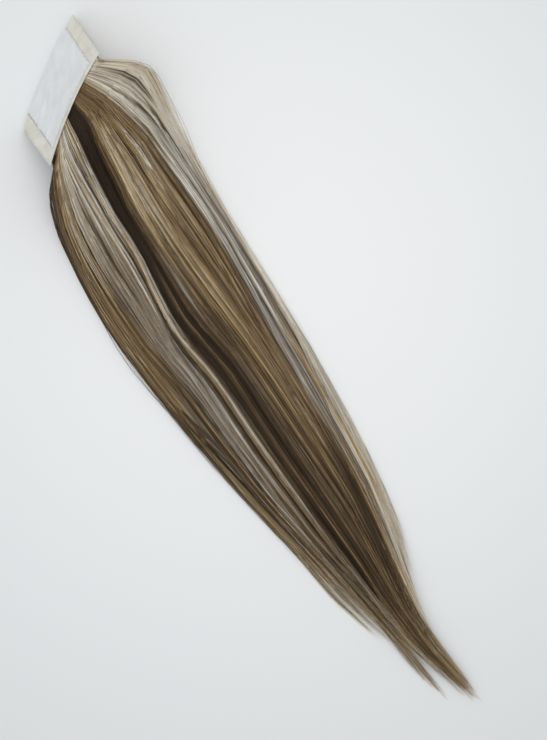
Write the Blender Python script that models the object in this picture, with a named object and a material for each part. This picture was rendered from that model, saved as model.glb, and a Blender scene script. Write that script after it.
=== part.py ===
"""Silk base closure: a lace patch with a sewn silk panel and a long fall of straight hair.

Units are metres and +Z is up. The hair lies on the surface and flows towards -Y. The patch is at the
+Y end with its underside showing: one long edge is tucked under as a flat lip, the patch turns over in
a roll, and its flap leans over the roots of the hair. The origin is under the middle of the whole thing.
"""

import math
from collections import namedtuple

import bmesh
import bpy
import numpy as np

# The patch as it is cut
BASE_LENGTH = 0.100  # along the roll
BASE_WIDTH = 0.090  # round the roll, from the tucked edge to the raised edge
LACE_THICKNESS = 0.001
SILK_THICKNESS = 0.001
SEAM_CLEARANCE = 0.0003  # between the lace, the silk and the hair
BORDER = 0.0125  # bare lace on the tucked edge and on both short edges
RAISED_BORDER = 0.004  # lace trimmed close on the raised edge

# How the patch lies
LIP = 0.021  # tucked under, flat
ROLL_RADIUS = 0.005  # on the hair's side
FLAP_RISE = math.radians(42.0)  # of the flap above the surface
ROLL_SKEW = math.radians(31.5)  # the roll's turn from square to the hair
ARCH = 0.010  # the raised edge's middle above its corners
BOW = 0.002  # the middle of every long edge, set back from its ends
PULL_IN = 0.05  # share of its length that the raised edge is drawn together

# The hair
HAIR_LENGTH = 0.560  # from the raised edge to the longest tip
HAIR_SPREAD = 0.145  # unit of the table's widths, near the greatest width
LAY_HEIGHT = 0.014  # of the fall half-way down
EDGE_HEIGHT = 0.0015  # where the fall thins out at its sides and tips
GROOVE = 0.0038  # depth between two locks
LOCK_CLEARANCE = 0.0005  # between two sections of the hair
ROOT_INSET = 0.0015  # of the root rows inside the patch's short edges
TIP_TAPER = 0.085  # length over which a lock narrows to its tip
TIP_WIDTH_SHARE = 0.14  # of a lock's full width, at its tip

# Fineness of the meshes
ROLL_STEPS = 8
FLAP_STEPS = 6
PATCH_STEPS = 8
FALL_STEPS = 27  # over the whole length, closer together near the root
TIP_STEPS = 6
LOCK_CELLS = 4

# The fall's outline, one row for each place down its length.
# run: share of HAIR_LENGTH. slant: share of the root line's own slant.
# left, right: sides of the fall, shares of HAIR_SPREAD from the middle of the raised edge.
# drape: share of the raised edge's height still kept. loft: share of LAY_HEIGHT.
Row = namedtuple("Row", "run slant left right drape loft")
FALL = (
    Row(0.027, 0.90, -0.385, 0.415, 0.78, 1.00),
    Row(0.070, 0.81, -0.462, 0.438, 0.47, 1.10),
    Row(0.127, 0.72, -0.505, 0.408, 0.23, 1.15),
    Row(0.200, 0.58, -0.540, 0.372, 0.09, 1.15),
    Row(0.284, 0.36, -0.552, 0.350, 0.03, 1.10),
    Row(0.377, 0.18, -0.540, 0.328, 0.00, 1.05),
    Row(0.468, 0.05, -0.520, 0.302, 0.00, 1.00),
    Row(0.564, 0.00, -0.483, 0.263, 0.00, 0.93),
    Row(0.663, 0.00, -0.431, 0.210, 0.00, 0.85),
    Row(0.752, 0.00, -0.385, 0.143, 0.00, 0.75),
    Row(0.841, 0.00, -0.330, 0.086, 0.00, 0.62),
    Row(0.930, 0.00, -0.258, 0.055, 0.00, 0.48),
    Row(1.000, 0.00, -0.188, 0.055, 0.00, 0.34),
)

# The sections of the hair from left to right, each of several locks fused along a common root.
# starts: share across where each lock starts. stop: share across where the section stops.
# ends: share of HAIR_LENGTH where each lock's tip lies.
Section = namedtuple("Section", "name starts stop ends colour")
SECTIONS = (
    Section("hair_caramel_edge", (0.00, 0.07), 0.16, (0.800, 0.880), (0.30, 0.20, 0.11)),
    Section("hair_platinum", (0.16, 0.25, 0.33), 0.41, (0.985, 0.950, 0.925), (0.52, 0.47, 0.38)),
    Section("hair_dark_streak", (0.41, 0.465), 0.53, (0.955, 0.985), (0.05, 0.035, 0.025)),
    Section("hair_golden", (0.53, 0.62, 0.71), 0.80, (1.000, 0.990, 0.960), (0.26, 0.17, 0.09)),
    Section("hair_ash", (0.80, 0.87), 0.93, (0.870, 0.800), (0.42, 0.38, 0.31)),
    Section("hair_blonde_edge", (0.93, 0.965), 1.00, (0.770, 0.735), (0.60, 0.54, 0.43)),
)

SILK_OUTER = LACE_THICKNESS + SEAM_CLEARANCE + SILK_THICKNESS
ROLL_ARC = ROLL_RADIUS * (math.pi - FLAP_RISE)
FLAP = BASE_WIDTH - LIP - ROLL_ARC
FLAP_START = -ROLL_RADIUS * math.sin(FLAP_RISE)
FLAP_REACH = FLAP_START + FLAP * math.cos(FLAP_RISE)


def remove_objects():
    """Clear the scene of what it holds."""
    for item in list(bpy.data.objects):
        bpy.data.objects.remove(item, do_unlink=True)


def make_material(name, colour, roughness):
    """A plain dielectric surface."""
    material = bpy.data.materials.new(name)
    material.use_nodes = True
    shader = material.node_tree.nodes["Principled BSDF"]
    shader.inputs["Base Color"].default_value = (*colour, 1.0)
    shader.inputs["Roughness"].default_value = roughness
    shader.inputs["Metallic"].default_value = 0.0
    return material


def roll_point(run):
    """The patch's hair side in its section: distance forwards and height, run metres round the roll."""
    if run <= LIP:
        return LIP - run, 0.0
    if run <= LIP + ROLL_ARC:
        turn = (run - LIP) / ROLL_RADIUS
        return -ROLL_RADIUS * math.sin(turn), ROLL_RADIUS * (1.0 - math.cos(turn))
    past = run - LIP - ROLL_ARC
    start_height = ROLL_RADIUS * (1.0 + math.cos(FLAP_RISE))
    return FLAP_START + past * math.cos(FLAP_RISE), start_height + past * math.sin(FLAP_RISE)


def patch_point(along, run):
    """The patch's hair side in space. along runs from -0.5 to 0.5 of its length, run round the roll."""
    forwards, height = roll_point(run)
    raised = min(max((run - LIP - ROLL_ARC) / FLAP, 0.0), 1.0)
    crown = 1.0 - 4.0 * along * along
    side = along * BASE_LENGTH * (1.0 - PULL_IN * raised)
    x = -side * math.cos(ROLL_SKEW)
    y = -side * math.sin(ROLL_SKEW) + FLAP_REACH - forwards + BOW * crown
    return np.array((x, y, SILK_OUTER + height + ARCH * crown * raised * raised))


def patch_normal(along, run):
    """The patch's normal, away from the hair."""
    step = 1e-4
    low = max(run - step * BASE_WIDTH, 0.0)
    high = min(run + step * BASE_WIDTH, BASE_WIDTH)
    round_roll = patch_point(along, high) - patch_point(along, low)
    down_length = patch_point(along + step, run) - patch_point(along - step, run)
    normal = np.cross(down_length, round_roll)
    return normal / np.linalg.norm(normal)


def patch_offset(along, run, distance):
    """A point set off from the patch's hair side, away from the hair where distance is positive."""
    return patch_point(along, run) + distance * patch_normal(along, run)


def even(start, stop, steps):
    """Evenly spaced values with both ends."""
    return [start + (stop - start) * i / steps for i in range(steps + 1)]


def patch_lines():
    """Where the patch's meshes have their lines: shares of its length, and distances round the roll."""
    edge = 0.5 - BORDER / BASE_LENGTH
    along = [-0.5, *even(-edge, edge, PATCH_STEPS), 0.5]
    roll_end = LIP + ROLL_ARC
    run = [0.0, BORDER, *even(LIP, roll_end, ROLL_STEPS)]
    run += even(roll_end, BASE_WIDTH - RAISED_BORDER, FLAP_STEPS)[1:]
    run.append(BASE_WIDTH)
    return along, run


def add_grid(mesh, rows, flip):
    """Faces between rows of vertices."""
    for near, far in zip(rows, rows[1:]):
        for j in range(len(near) - 1):
            corners = [near[j], near[j + 1], far[j + 1], far[j]]
            mesh.faces.new(corners[::-1] if flip else corners)


def finish_object(name, mesh, material):
    """Turn a mesh's faces outwards and make it an object."""
    bmesh.ops.recalc_face_normals(mesh, faces=mesh.faces)
    data = bpy.data.meshes.new(name)
    mesh.to_mesh(data)
    mesh.free()
    data.materials.append(material)
    made = bpy.data.objects.new(name, data)
    bpy.context.scene.collection.objects.link(made)
    return made


def make_sheet(name, along, run, inner, outer, material):
    """A closed sheet that follows the patch between two distances from its hair side."""
    mesh = bmesh.new()
    layers = []
    for distance in (inner, outer):
        rows = [[mesh.verts.new(patch_offset(a, r, distance)) for a in along] for r in run]
        layers.append(rows)
    add_grid(mesh, layers[0], False)
    add_grid(mesh, layers[1], True)
    rims = (
        [rows[0] for rows in layers],
        [rows[-1] for rows in layers],
        [[row[0] for row in rows] for rows in layers],
        [[row[-1] for row in rows] for rows in layers],
    )
    for rim in rims:
        add_grid(mesh, rim, False)
    return finish_object(name, mesh, material)


def root_row():
    """The fall's outline on the raised edge."""
    half = 0.5 * BASE_LENGTH * (1.0 - PULL_IN) * math.cos(ROLL_SKEW) / HAIR_SPREAD
    return Row(0.0, 1.0, -half, half, 1.0, 0.0)


def fall_values(run):
    """The table's columns at a share of the hair's length, on a smooth curve through its rows."""
    table = np.array((root_row(), *FALL))
    places = table[:, 0]
    slopes = np.gradient(table, places, axis=0)
    i = int(np.clip(np.searchsorted(places, run) - 1, 0, len(places) - 2))
    gap = places[i + 1] - places[i]
    t = (run - places[i]) / gap
    values = (1 + 2 * t) * (1 - t) ** 2 * table[i] + t * (1 - t) ** 2 * gap * slopes[i]
    values += t * t * (3 - 2 * t) * table[i + 1] + t * t * (t - 1) * gap * slopes[i + 1]
    return Row(*values)


def fall_ends(run):
    """The fall's left and right points in plan at a share of the hair's length."""
    row = fall_values(run)
    drop = row.slant * 0.5 * BASE_LENGTH * (1.0 - PULL_IN) * math.sin(ROLL_SKEW)
    down = row.run * HAIR_LENGTH
    left = np.array((row.left * HAIR_SPREAD, -down - drop))
    right = np.array((row.right * HAIR_SPREAD, -down + drop))
    return left, right


def root_along(across):
    """Where a share across the fall meets the patch, as a share along it."""
    return (0.5 - ROOT_INSET / BASE_LENGTH) * (1.0 - 2.0 * across)


def crown_height(run, across):
    """Height of the fall's top without its grooves."""
    row = fall_values(run)
    drape = min(max(row.drape, 0.0), 1.0)
    edge = patch_offset(root_along(across), BASE_WIDTH, -SEAM_CLEARANCE)[2]
    boxy = 2.4 + 5.0 * drape
    rounding = (1.0 - abs(2.0 * across - 1.0) ** boxy) ** 0.5
    return max(EDGE_HEIGHT, (drape * edge + row.loft * LAY_HEIGHT) * rounding)


def fall_pair(run, across, lobe, thinning=1.0):
    """Top and bottom points of the fall. lobe is 0 in a groove and 1 on a lock's crest."""
    left, right = fall_ends(run)
    plan = left + (right - left) * across
    crown = crown_height(run, across) * thinning
    ease = min(run / FALL[2].run, 1.0)
    groove = min(GROOVE, 0.45 * crown) * ease * (1.0 - lobe)
    top = max(crown - groove, EDGE_HEIGHT)
    return np.array((*plan, top)), np.array((*plan, 0.0))


def root_pairs(across_values):
    """Rows of top and bottom points under the flap, from the roll to the raised edge."""
    lip_end = LIP + SEAM_CLEARANCE
    over_lip = SILK_OUTER + SEAM_CLEARANCE
    drop_end = lip_end + over_lip
    middle = 0.5 * (drop_end + FLAP_REACH)
    places = ((0.0, over_lip), (0.5 * lip_end, over_lip), (lip_end, over_lip))
    places += ((drop_end, 0.0), (middle, 0.0), (FLAP_REACH, 0.0))
    rows = []
    for forwards, floor in places:
        run = LIP + ROLL_ARC + (forwards - FLAP_START) / math.cos(FLAP_RISE)
        tops = [patch_offset(root_along(w), run, -SEAM_CLEARANCE) for w in across_values]
        rows.append([(top, np.array((top[0], top[1], floor))) for top in tops])
    return rows


def lobe_height(cell):
    """Relief across a lock, from 0 in its grooves to 1 on its crest."""
    return math.sin(math.pi * cell / LOCK_CELLS) ** 0.7 if 0 < cell < LOCK_CELLS else 0.0


def across_columns(section):
    """Shares across, with each column's relief, over all of a section's locks."""
    bounds = (*section.starts, section.stop)
    columns = [(bounds[0], 0.0)]
    for start, stop in zip(bounds, bounds[1:]):
        for cell in range(1, LOCK_CELLS + 1):
            columns.append((start + (stop - start) * cell / LOCK_CELLS, lobe_height(cell)))
    return columns


def inset_across(across, section, run):
    """A share across, moved in where it is a side of its section, so that sections stay apart."""
    left, right = fall_ends(run)
    share = 0.5 * LOCK_CLEARANCE / np.linalg.norm(right - left)
    return min(max(across, section.starts[0] + share), section.stop - share)


def lock_pairs(section, number, split, run):
    """A lock's row of top and bottom points past the split, narrowing to its tip."""
    start = section.starts[number]
    stop = (*section.starts, section.stop)[number + 1]
    past = (run - split) / (section.ends[number] - split)
    width = 1.0 - (1.0 - TIP_WIDTH_SHARE) * past**1.4
    thinning = 1.0 - 0.7 * past
    middle = 0.5 * (start + stop)
    pairs = []
    for cell in range(LOCK_CELLS + 1):
        across = middle + (stop - start) * width * (cell / LOCK_CELLS - 0.5)
        across = inset_across(across, section, run)
        pairs.append(fall_pair(run, across, lobe_height(cell), thinning))
    return pairs


def fused_runs(section):
    """Shares of the hair's length at the section's rows, on the same rows in every section."""
    stations = [(step / FALL_STEPS) ** 1.25 for step in range(1, FALL_STEPS)]
    return [run for run in stations if run < min(section.ends) - TIP_TAPER / HAIR_LENGTH]


def make_hair(section):
    """One section of the hair: locks fused along their roots, which part into tips."""
    columns = across_columns(section)
    rows = root_pairs([inset_across(w, section, 0.0) for w, _ in columns])
    for run in fused_runs(section):
        rows.append([fall_pair(run, inset_across(w, section, run), lobe) for w, lobe in columns])
    split = fused_runs(section)[-1]

    mesh = bmesh.new()
    tops = [[mesh.verts.new(top) for top, _ in row] for row in rows]
    floors = [[mesh.verts.new(floor) for _, floor in row] for row in rows]
    add_grid(mesh, tops, True)
    add_grid(mesh, floors, False)
    add_grid(mesh, [tops[0], floors[0]], False)
    for side in (0, -1):
        add_grid(mesh, [[row[side] for row in tops], [row[side] for row in floors]], False)

    for number, end in enumerate(section.ends):
        first = number * LOCK_CELLS
        lock_tops = [tops[-1][first : first + LOCK_CELLS + 1]]
        lock_floors = [floors[-1][first : first + LOCK_CELLS + 1]]
        for step in range(1, TIP_STEPS + 1):
            pairs = lock_pairs(section, number, split, split + (end - split) * step / TIP_STEPS)
            lock_tops.append([mesh.verts.new(top) for top, _ in pairs])
            lock_floors.append([mesh.verts.new(floor) for _, floor in pairs])
        add_grid(mesh, lock_tops, True)
        add_grid(mesh, lock_floors, False)
        add_grid(mesh, [lock_tops[-1], lock_floors[-1]], False)
        for side in (0, -1):
            add_grid(mesh, [[row[side] for row in lock_tops], [row[side] for row in lock_floors]], False)
    return finish_object(section.name, mesh, make_material(section.name, section.colour, 0.45))


def centre_on_footprint(made):
    """Move the meshes so that the origin is under the middle of the whole."""
    corners = np.array([vertex.co[:] for item in made for vertex in item.data.vertices])
    middle = 0.5 * (corners.min(axis=0) + corners.max(axis=0))
    for item in made:
        for vertex in item.data.vertices:
            vertex.co.x -= middle[0]
            vertex.co.y -= middle[1]
            vertex.co.z -= corners[:, 2].min()


def main():
    """Build the patch and the hair."""
    remove_objects()
    along, run = patch_lines()
    lace = make_material("lace", (0.62, 0.57, 0.47), 0.8)
    silk = make_material("silk", (0.80, 0.81, 0.83), 0.5)
    silk_inner = LACE_THICKNESS + SEAM_CLEARANCE
    made = [make_sheet("lace_base", along, run, 0.0, LACE_THICKNESS, lace)]
    made.append(make_sheet("silk_panel", along[1:-1], run[1:-1], silk_inner, SILK_OUTER, silk))
    made += [make_hair(section) for section in SECTIONS]
    centre_on_footprint(made)


if __name__ == "__main__":
    main()
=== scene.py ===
"""Looks for a silk base closure: a lace patch with a sewn silk panel and a long fall of straight hair.

Everything is in metres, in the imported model's frame: +Z is up, the hair flows towards -Y, and the patch is
at the +Y end with its underside showing. Two curved shapes carry all the pieces, as they do in the solids:
the patch's sheet, rolled over onto its tucked edge, and the top of the hair's fall.
"""

import logging
import math
from collections.abc import Sequence
from dataclasses import dataclass
from enum import Enum

import bpy
import numpy as np
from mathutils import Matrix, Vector


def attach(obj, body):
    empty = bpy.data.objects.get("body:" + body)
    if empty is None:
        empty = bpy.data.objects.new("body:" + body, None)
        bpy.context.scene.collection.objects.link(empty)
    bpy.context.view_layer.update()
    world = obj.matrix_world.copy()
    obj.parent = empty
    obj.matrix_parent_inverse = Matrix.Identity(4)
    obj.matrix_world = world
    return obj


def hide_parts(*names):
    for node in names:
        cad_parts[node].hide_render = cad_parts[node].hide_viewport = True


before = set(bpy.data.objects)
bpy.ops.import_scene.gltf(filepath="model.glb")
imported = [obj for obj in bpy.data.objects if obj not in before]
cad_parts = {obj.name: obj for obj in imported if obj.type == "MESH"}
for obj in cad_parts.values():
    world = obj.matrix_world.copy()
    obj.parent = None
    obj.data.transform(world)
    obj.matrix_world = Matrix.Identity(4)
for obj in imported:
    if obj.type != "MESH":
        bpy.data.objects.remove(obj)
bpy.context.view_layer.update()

LOG = logging.getLogger("silk_base_closure")
ROOT_BODY = "root"
TONE_MAP = "OFBake"  # the hair's own map: u is its tone, painted shade included, and v its ash
CLOTH_MAP = "Cloth"  # the silk's own map: its flat cut, one unit to CLOTH_UNIT
CLOTH_UNIT = 0.1
# Inputs of the trees that aren't plain numbers
SOCKET_KINDS = {"Geometry": "NodeSocketGeometry", "Seed": "NodeSocketInt", "Finish": "NodeSocketMaterial"}


class Held(Enum):
    """How a sheet of cloth is held."""

    FOLDED = "folded"


class Lay(Enum):
    """Where a guide of the hair lies."""

    TOP = "top"
    LEFT_WALL = "left wall"
    RIGHT_WALL = "right wall"


# Small helpers


def srgb(code: str) -> tuple[float, float, float, float]:
    """Turn an sRGB hex code into a linear colour.

    Args:
        code: Six hex digits after a hash.

    Returns:
        Linear red, green and blue, and an alpha of 1.
    """
    parts = [int(code[i : i + 2], 16) / 255 for i in (1, 3, 5)]
    linear = [p / 12.92 if p <= 0.04045 else ((p + 0.055) / 1.055) ** 2.4 for p in parts]
    return linear[0], linear[1], linear[2], 1.0


def add_node(
    tree: bpy.types.NodeTree, kind: str, inputs: dict | Sequence = (), **settings: object
) -> bpy.types.Node:
    """Add a node with its settings and links.

    Args:
        tree: The tree that gets the node.
        kind: The node's type name, or a Math node's operation.
        inputs: Values, sockets, or nodes that feed with their first output, in order or by socket identifier.
        settings: The node's own properties.

    Returns:
        The new node.
    """
    if kind.isupper():
        kind, settings = "ShaderNodeMath", {"operation": kind}
    node = tree.nodes.new(kind)
    for name, value in settings.items():
        setattr(node, name, value)
    sockets = {socket.identifier: socket for socket in node.inputs}
    for key, value in inputs.items() if isinstance(inputs, dict) else enumerate(inputs):
        socket = node.inputs[key] if isinstance(key, int) else sockets[key]
        if isinstance(value, bpy.types.Node):
            value = value.outputs[0]
        if isinstance(value, bpy.types.NodeSocket):
            tree.links.new(value, socket)
        else:
            socket.default_value = value
    return node


def set_ramp(node: bpy.types.Node, stops: Sequence[tuple[float, str]]) -> None:
    """Give a colour ramp its stops.

    Args:
        node: The Color Ramp node.
        stops: Place and sRGB hex code of each stop, in order.
    """
    elements = node.color_ramp.elements
    while len(elements) < len(stops):
        elements.new(0.5)
    for element, (place, code) in zip(elements, stops):
        element.position = place
        element.color = srgb(code)


def new_surface(
    name: str, constants: dict[str, float]
) -> tuple[bpy.types.Material, bpy.types.NodeTree, bpy.types.Node]:
    """Make a material with a Principled shader.

    Args:
        name: The real material's name.
        constants: The shader's values that are the same all over, by input name.

    Returns:
        The material, its node tree and its shader.
    """
    material = bpy.data.materials.new(name)
    material.use_nodes = True
    shader = material.node_tree.nodes["Principled BSDF"]
    for label, value in constants.items():
        shader.inputs[label].default_value = value
    return material, material.node_tree, shader


def new_geometry_tree(name: str, labels: Sequence[str]) -> tuple[bpy.types.NodeTree, dict]:
    """Start a Geometry Nodes tree with one geometry output and named inputs, of which the last is its finish.

    Args:
        name: The tree's name.
        labels: The inputs between the geometry and the finish, which are numbers.

    Returns:
        The tree, and its inputs as output sockets by name.
    """
    tree = bpy.data.node_groups.new(name, "GeometryNodeTree")
    tree.interface.new_socket("Geometry", in_out="OUTPUT", socket_type="NodeSocketGeometry")
    for label in ("Geometry", *labels, "Finish"):
        kind = SOCKET_KINDS.get(label, "NodeSocketFloat")
        tree.interface.new_socket(label, in_out="INPUT", socket_type=kind)
    source = add_node(tree, "NodeGroupInput")
    return tree, {socket.name: socket for socket in source.outputs if socket.name}


def end_geometry_tree(
    tree: bpy.types.NodeTree, geometry: bpy.types.Node, finish: bpy.types.NodeSocket
) -> None:
    """End a tree with Realize Instances and Set Material.

    Args:
        tree: The tree to end.
        geometry: The node that gives what it has made.
        finish: The material's socket.
    """
    real = add_node(tree, "GeometryNodeRealizeInstances", {"Geometry": geometry})
    dressed = add_node(tree, "GeometryNodeSetMaterial", {"Geometry": real, "Material": finish})
    add_node(tree, "NodeGroupOutput", (dressed,))


def run_tree(tree: bpy.types.NodeTree, source: bpy.types.Mesh, values: dict[str, object]) -> bpy.types.Mesh:
    """Run a Geometry Nodes tree on a mesh.

    Args:
        tree: The tree.
        source: The mesh that it starts from.
        values: Input name to value.

    Returns:
        The result as a plain mesh, with no modifier left.
    """
    holder = bpy.data.objects.new(tree.name, source)
    bpy.context.scene.collection.objects.link(holder)
    modifier = holder.modifiers.new(tree.name, "NODES")
    modifier.node_group = tree
    for item in tree.interface.items_tree:
        if item.item_type == "SOCKET" and item.in_out == "INPUT" and item.name in values:
            modifier[item.identifier] = values[item.name]
    graph = bpy.context.evaluated_depsgraph_get()
    shown = holder.evaluated_get(graph)
    made = bpy.data.meshes.new_from_object(shown, preserve_all_data_layers=True, depsgraph=graph)
    bpy.data.objects.remove(holder)
    bpy.data.meshes.remove(source)
    return made


def new_object(name: str, mesh: bpy.types.Mesh) -> bpy.types.Object:
    """Link a mesh into the scene as an object at the origin.

    Args:
        name: The piece's name.
        mesh: Its mesh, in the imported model's frame.

    Returns:
        The object.
    """
    mesh.name = name
    made = bpy.data.objects.new(name, mesh)
    bpy.context.scene.collection.objects.link(made)
    return made


def mesh_from_arrays(name: str, points: np.ndarray, faces: Sequence[Sequence[int]]) -> bpy.types.Mesh:
    """Make a mesh from points and faces.

    Args:
        name: The mesh's name.
        points: One row for each vertex.
        faces: Vertex numbers of each face, in turn seen from outside.

    Returns:
        The mesh, shaded smooth.
    """
    mesh = bpy.data.meshes.new(name)
    mesh.from_pydata(points.tolist(), [], [tuple(int(i) for i in face) for face in faces])
    mesh.shade_smooth()
    return mesh


def slab_faces(rows: int, columns: int) -> list[tuple[int, int, int, int]]:
    """Faces of a closed slab whose top grid's vertices come first and whose bottom grid's follow.

    Args:
        rows: Rows of each grid.
        columns: Vertices in each row.

    Returns:
        Vertex numbers of the top, bottom and four sides, facing outwards for a grid whose columns run to the
        right and whose rows run towards the viewer, seen from its top.
    """
    under = rows * columns
    faces = []
    for i in range(rows - 1):
        for j in range(columns - 1):
            a, b = i * columns + j, i * columns + j + 1
            c, d = b + columns, a + columns
            faces.append((a, d, c, b))
            faces.append((a + under, b + under, c + under, d + under))
    for i in range(rows - 1):
        near, far = i * columns, (i + 1) * columns
        faces.append((near, near + under, far + under, far))
        near, far = near + columns - 1, far + columns - 1
        faces.append((near, far, far + under, near + under))
    last = (rows - 1) * columns
    for j in range(columns - 1):
        faces.append((j, j + 1, j + 1 + under, j + under))
        faces.append((last + j, last + j + under, last + j + 1 + under, last + j + 1))
    return faces


def slab_mesh(
    name: str, top: np.ndarray, low: np.ndarray, material: bpy.types.Material, flipped: bool = False
) -> bpy.types.Mesh:
    """Make a closed slab from the grids of its two sides.

    Args:
        name: The mesh's name.
        top: The top side's points, in rows.
        low: The other side's points, in the same rows.
        material: Its material.
        flipped: Whether the rows run away from the viewer, seen from the top.

    Returns:
        The mesh, dressed.
    """
    faces = slab_faces(*top.shape[:2])
    if flipped:
        faces = [face[::-1] for face in faces]
    mesh = mesh_from_arrays(name, np.concatenate((top.reshape(-1, 3), low.reshape(-1, 3))), faces)
    mesh.materials.append(material)
    return mesh


def set_map(mesh: bpy.types.Mesh, name: str, places: np.ndarray) -> None:
    """Give a mesh a map.

    Args:
        mesh: The mesh.
        name: The map's name.
        places: Each vertex's place on the map, in rows of two.
    """
    corners = np.zeros(len(mesh.loops), np.int32)
    mesh.loops.foreach_get("vertex_index", corners)
    layer = mesh.uv_layers.new(name=name)
    layer.data.foreach_set("uv", places[corners].astype(np.float32).ravel())


def set_float(mesh: bpy.types.Mesh, name: str, values: np.ndarray) -> None:
    """Store a number on every vertex.

    Args:
        mesh: The mesh.
        name: The attribute's name.
        values: One number for each vertex.
    """
    layer = mesh.attributes.new(name, "FLOAT", "POINT")
    layer.data.foreach_set("value", np.asarray(values, np.float32).ravel())


def get_float(mesh: bpy.types.Mesh, name: str) -> np.ndarray:
    """Read a number from every vertex.

    Args:
        mesh: The mesh.
        name: The attribute's name.

    Returns:
        One number for each vertex.
    """
    values = np.zeros(len(mesh.vertices), np.float32)
    mesh.attributes[name].data.foreach_get("value", values)
    return values


def get_points(mesh: bpy.types.Mesh) -> np.ndarray:
    """Read a mesh's vertices as an array of one row each."""
    points = np.zeros(len(mesh.vertices) * 3, np.float32)
    mesh.vertices.foreach_get("co", points)
    return points.reshape(-1, 3).astype(float)


def join_meshes(name: str, meshes: Sequence[bpy.types.Mesh]) -> bpy.types.Mesh:
    """Join meshes into one, keeping their attributes, maps and materials.

    Args:
        name: The joined mesh's name.
        meshes: The meshes, which are used up.

    Returns:
        The joined mesh.
    """
    parts = [new_object(f"{name}.{number}", mesh) for number, mesh in enumerate(meshes)]
    with bpy.context.temp_override(active_object=parts[0], selected_editable_objects=parts):
        bpy.ops.object.join()
    joined = parts[0].data
    bpy.data.objects.remove(parts[0])
    joined.name = name
    return joined


def smooth(values: np.ndarray, low: float, high: float) -> np.ndarray:
    """Rise smoothly from 0 to 1.

    Args:
        values: The values to map.
        low: The value, and all below it, that gives 0.
        high: The value, and all above it, that gives 1.

    Returns:
        Shares from 0 to 1.
    """
    t = np.clip((np.asarray(values, float) - low) / (high - low), 0.0, 1.0)
    return t * t * (3.0 - 2.0 * t)


def bracket(places: np.ndarray, at: np.ndarray) -> tuple[np.ndarray, np.ndarray]:
    """Find between which rows of a table values lie.

    Args:
        places: The rows' own places, in rising order.
        at: The values.

    Returns:
        The number of the row before each value, and the share of the way from there to the next row.
    """
    i = np.clip(np.searchsorted(places, at) - 1, 0, len(places) - 2)
    return i, (at - places[i]) / (places[i + 1] - places[i])


def curve_between(
    t: np.ndarray, low: np.ndarray, low_rise: np.ndarray, high: np.ndarray, high_rise: np.ndarray
) -> np.ndarray:
    """Find points on smooth curves between two rows of a table.

    Args:
        t: Shares of the way from the first row to the second.
        low: Values at the first row.
        low_rise: The curves' slopes there, for the whole way.
        high: Values at the second row.
        high_rise: The curves' slopes there.

    Returns:
        Values.
    """
    start = (1 + 2 * t) * (1 - t) ** 2 * low + t * (1 - t) ** 2 * low_rise
    return start + t * t * (3 - 2 * t) * high + t * t * (t - 1) * high_rise


# The two shapes that carry everything


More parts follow.
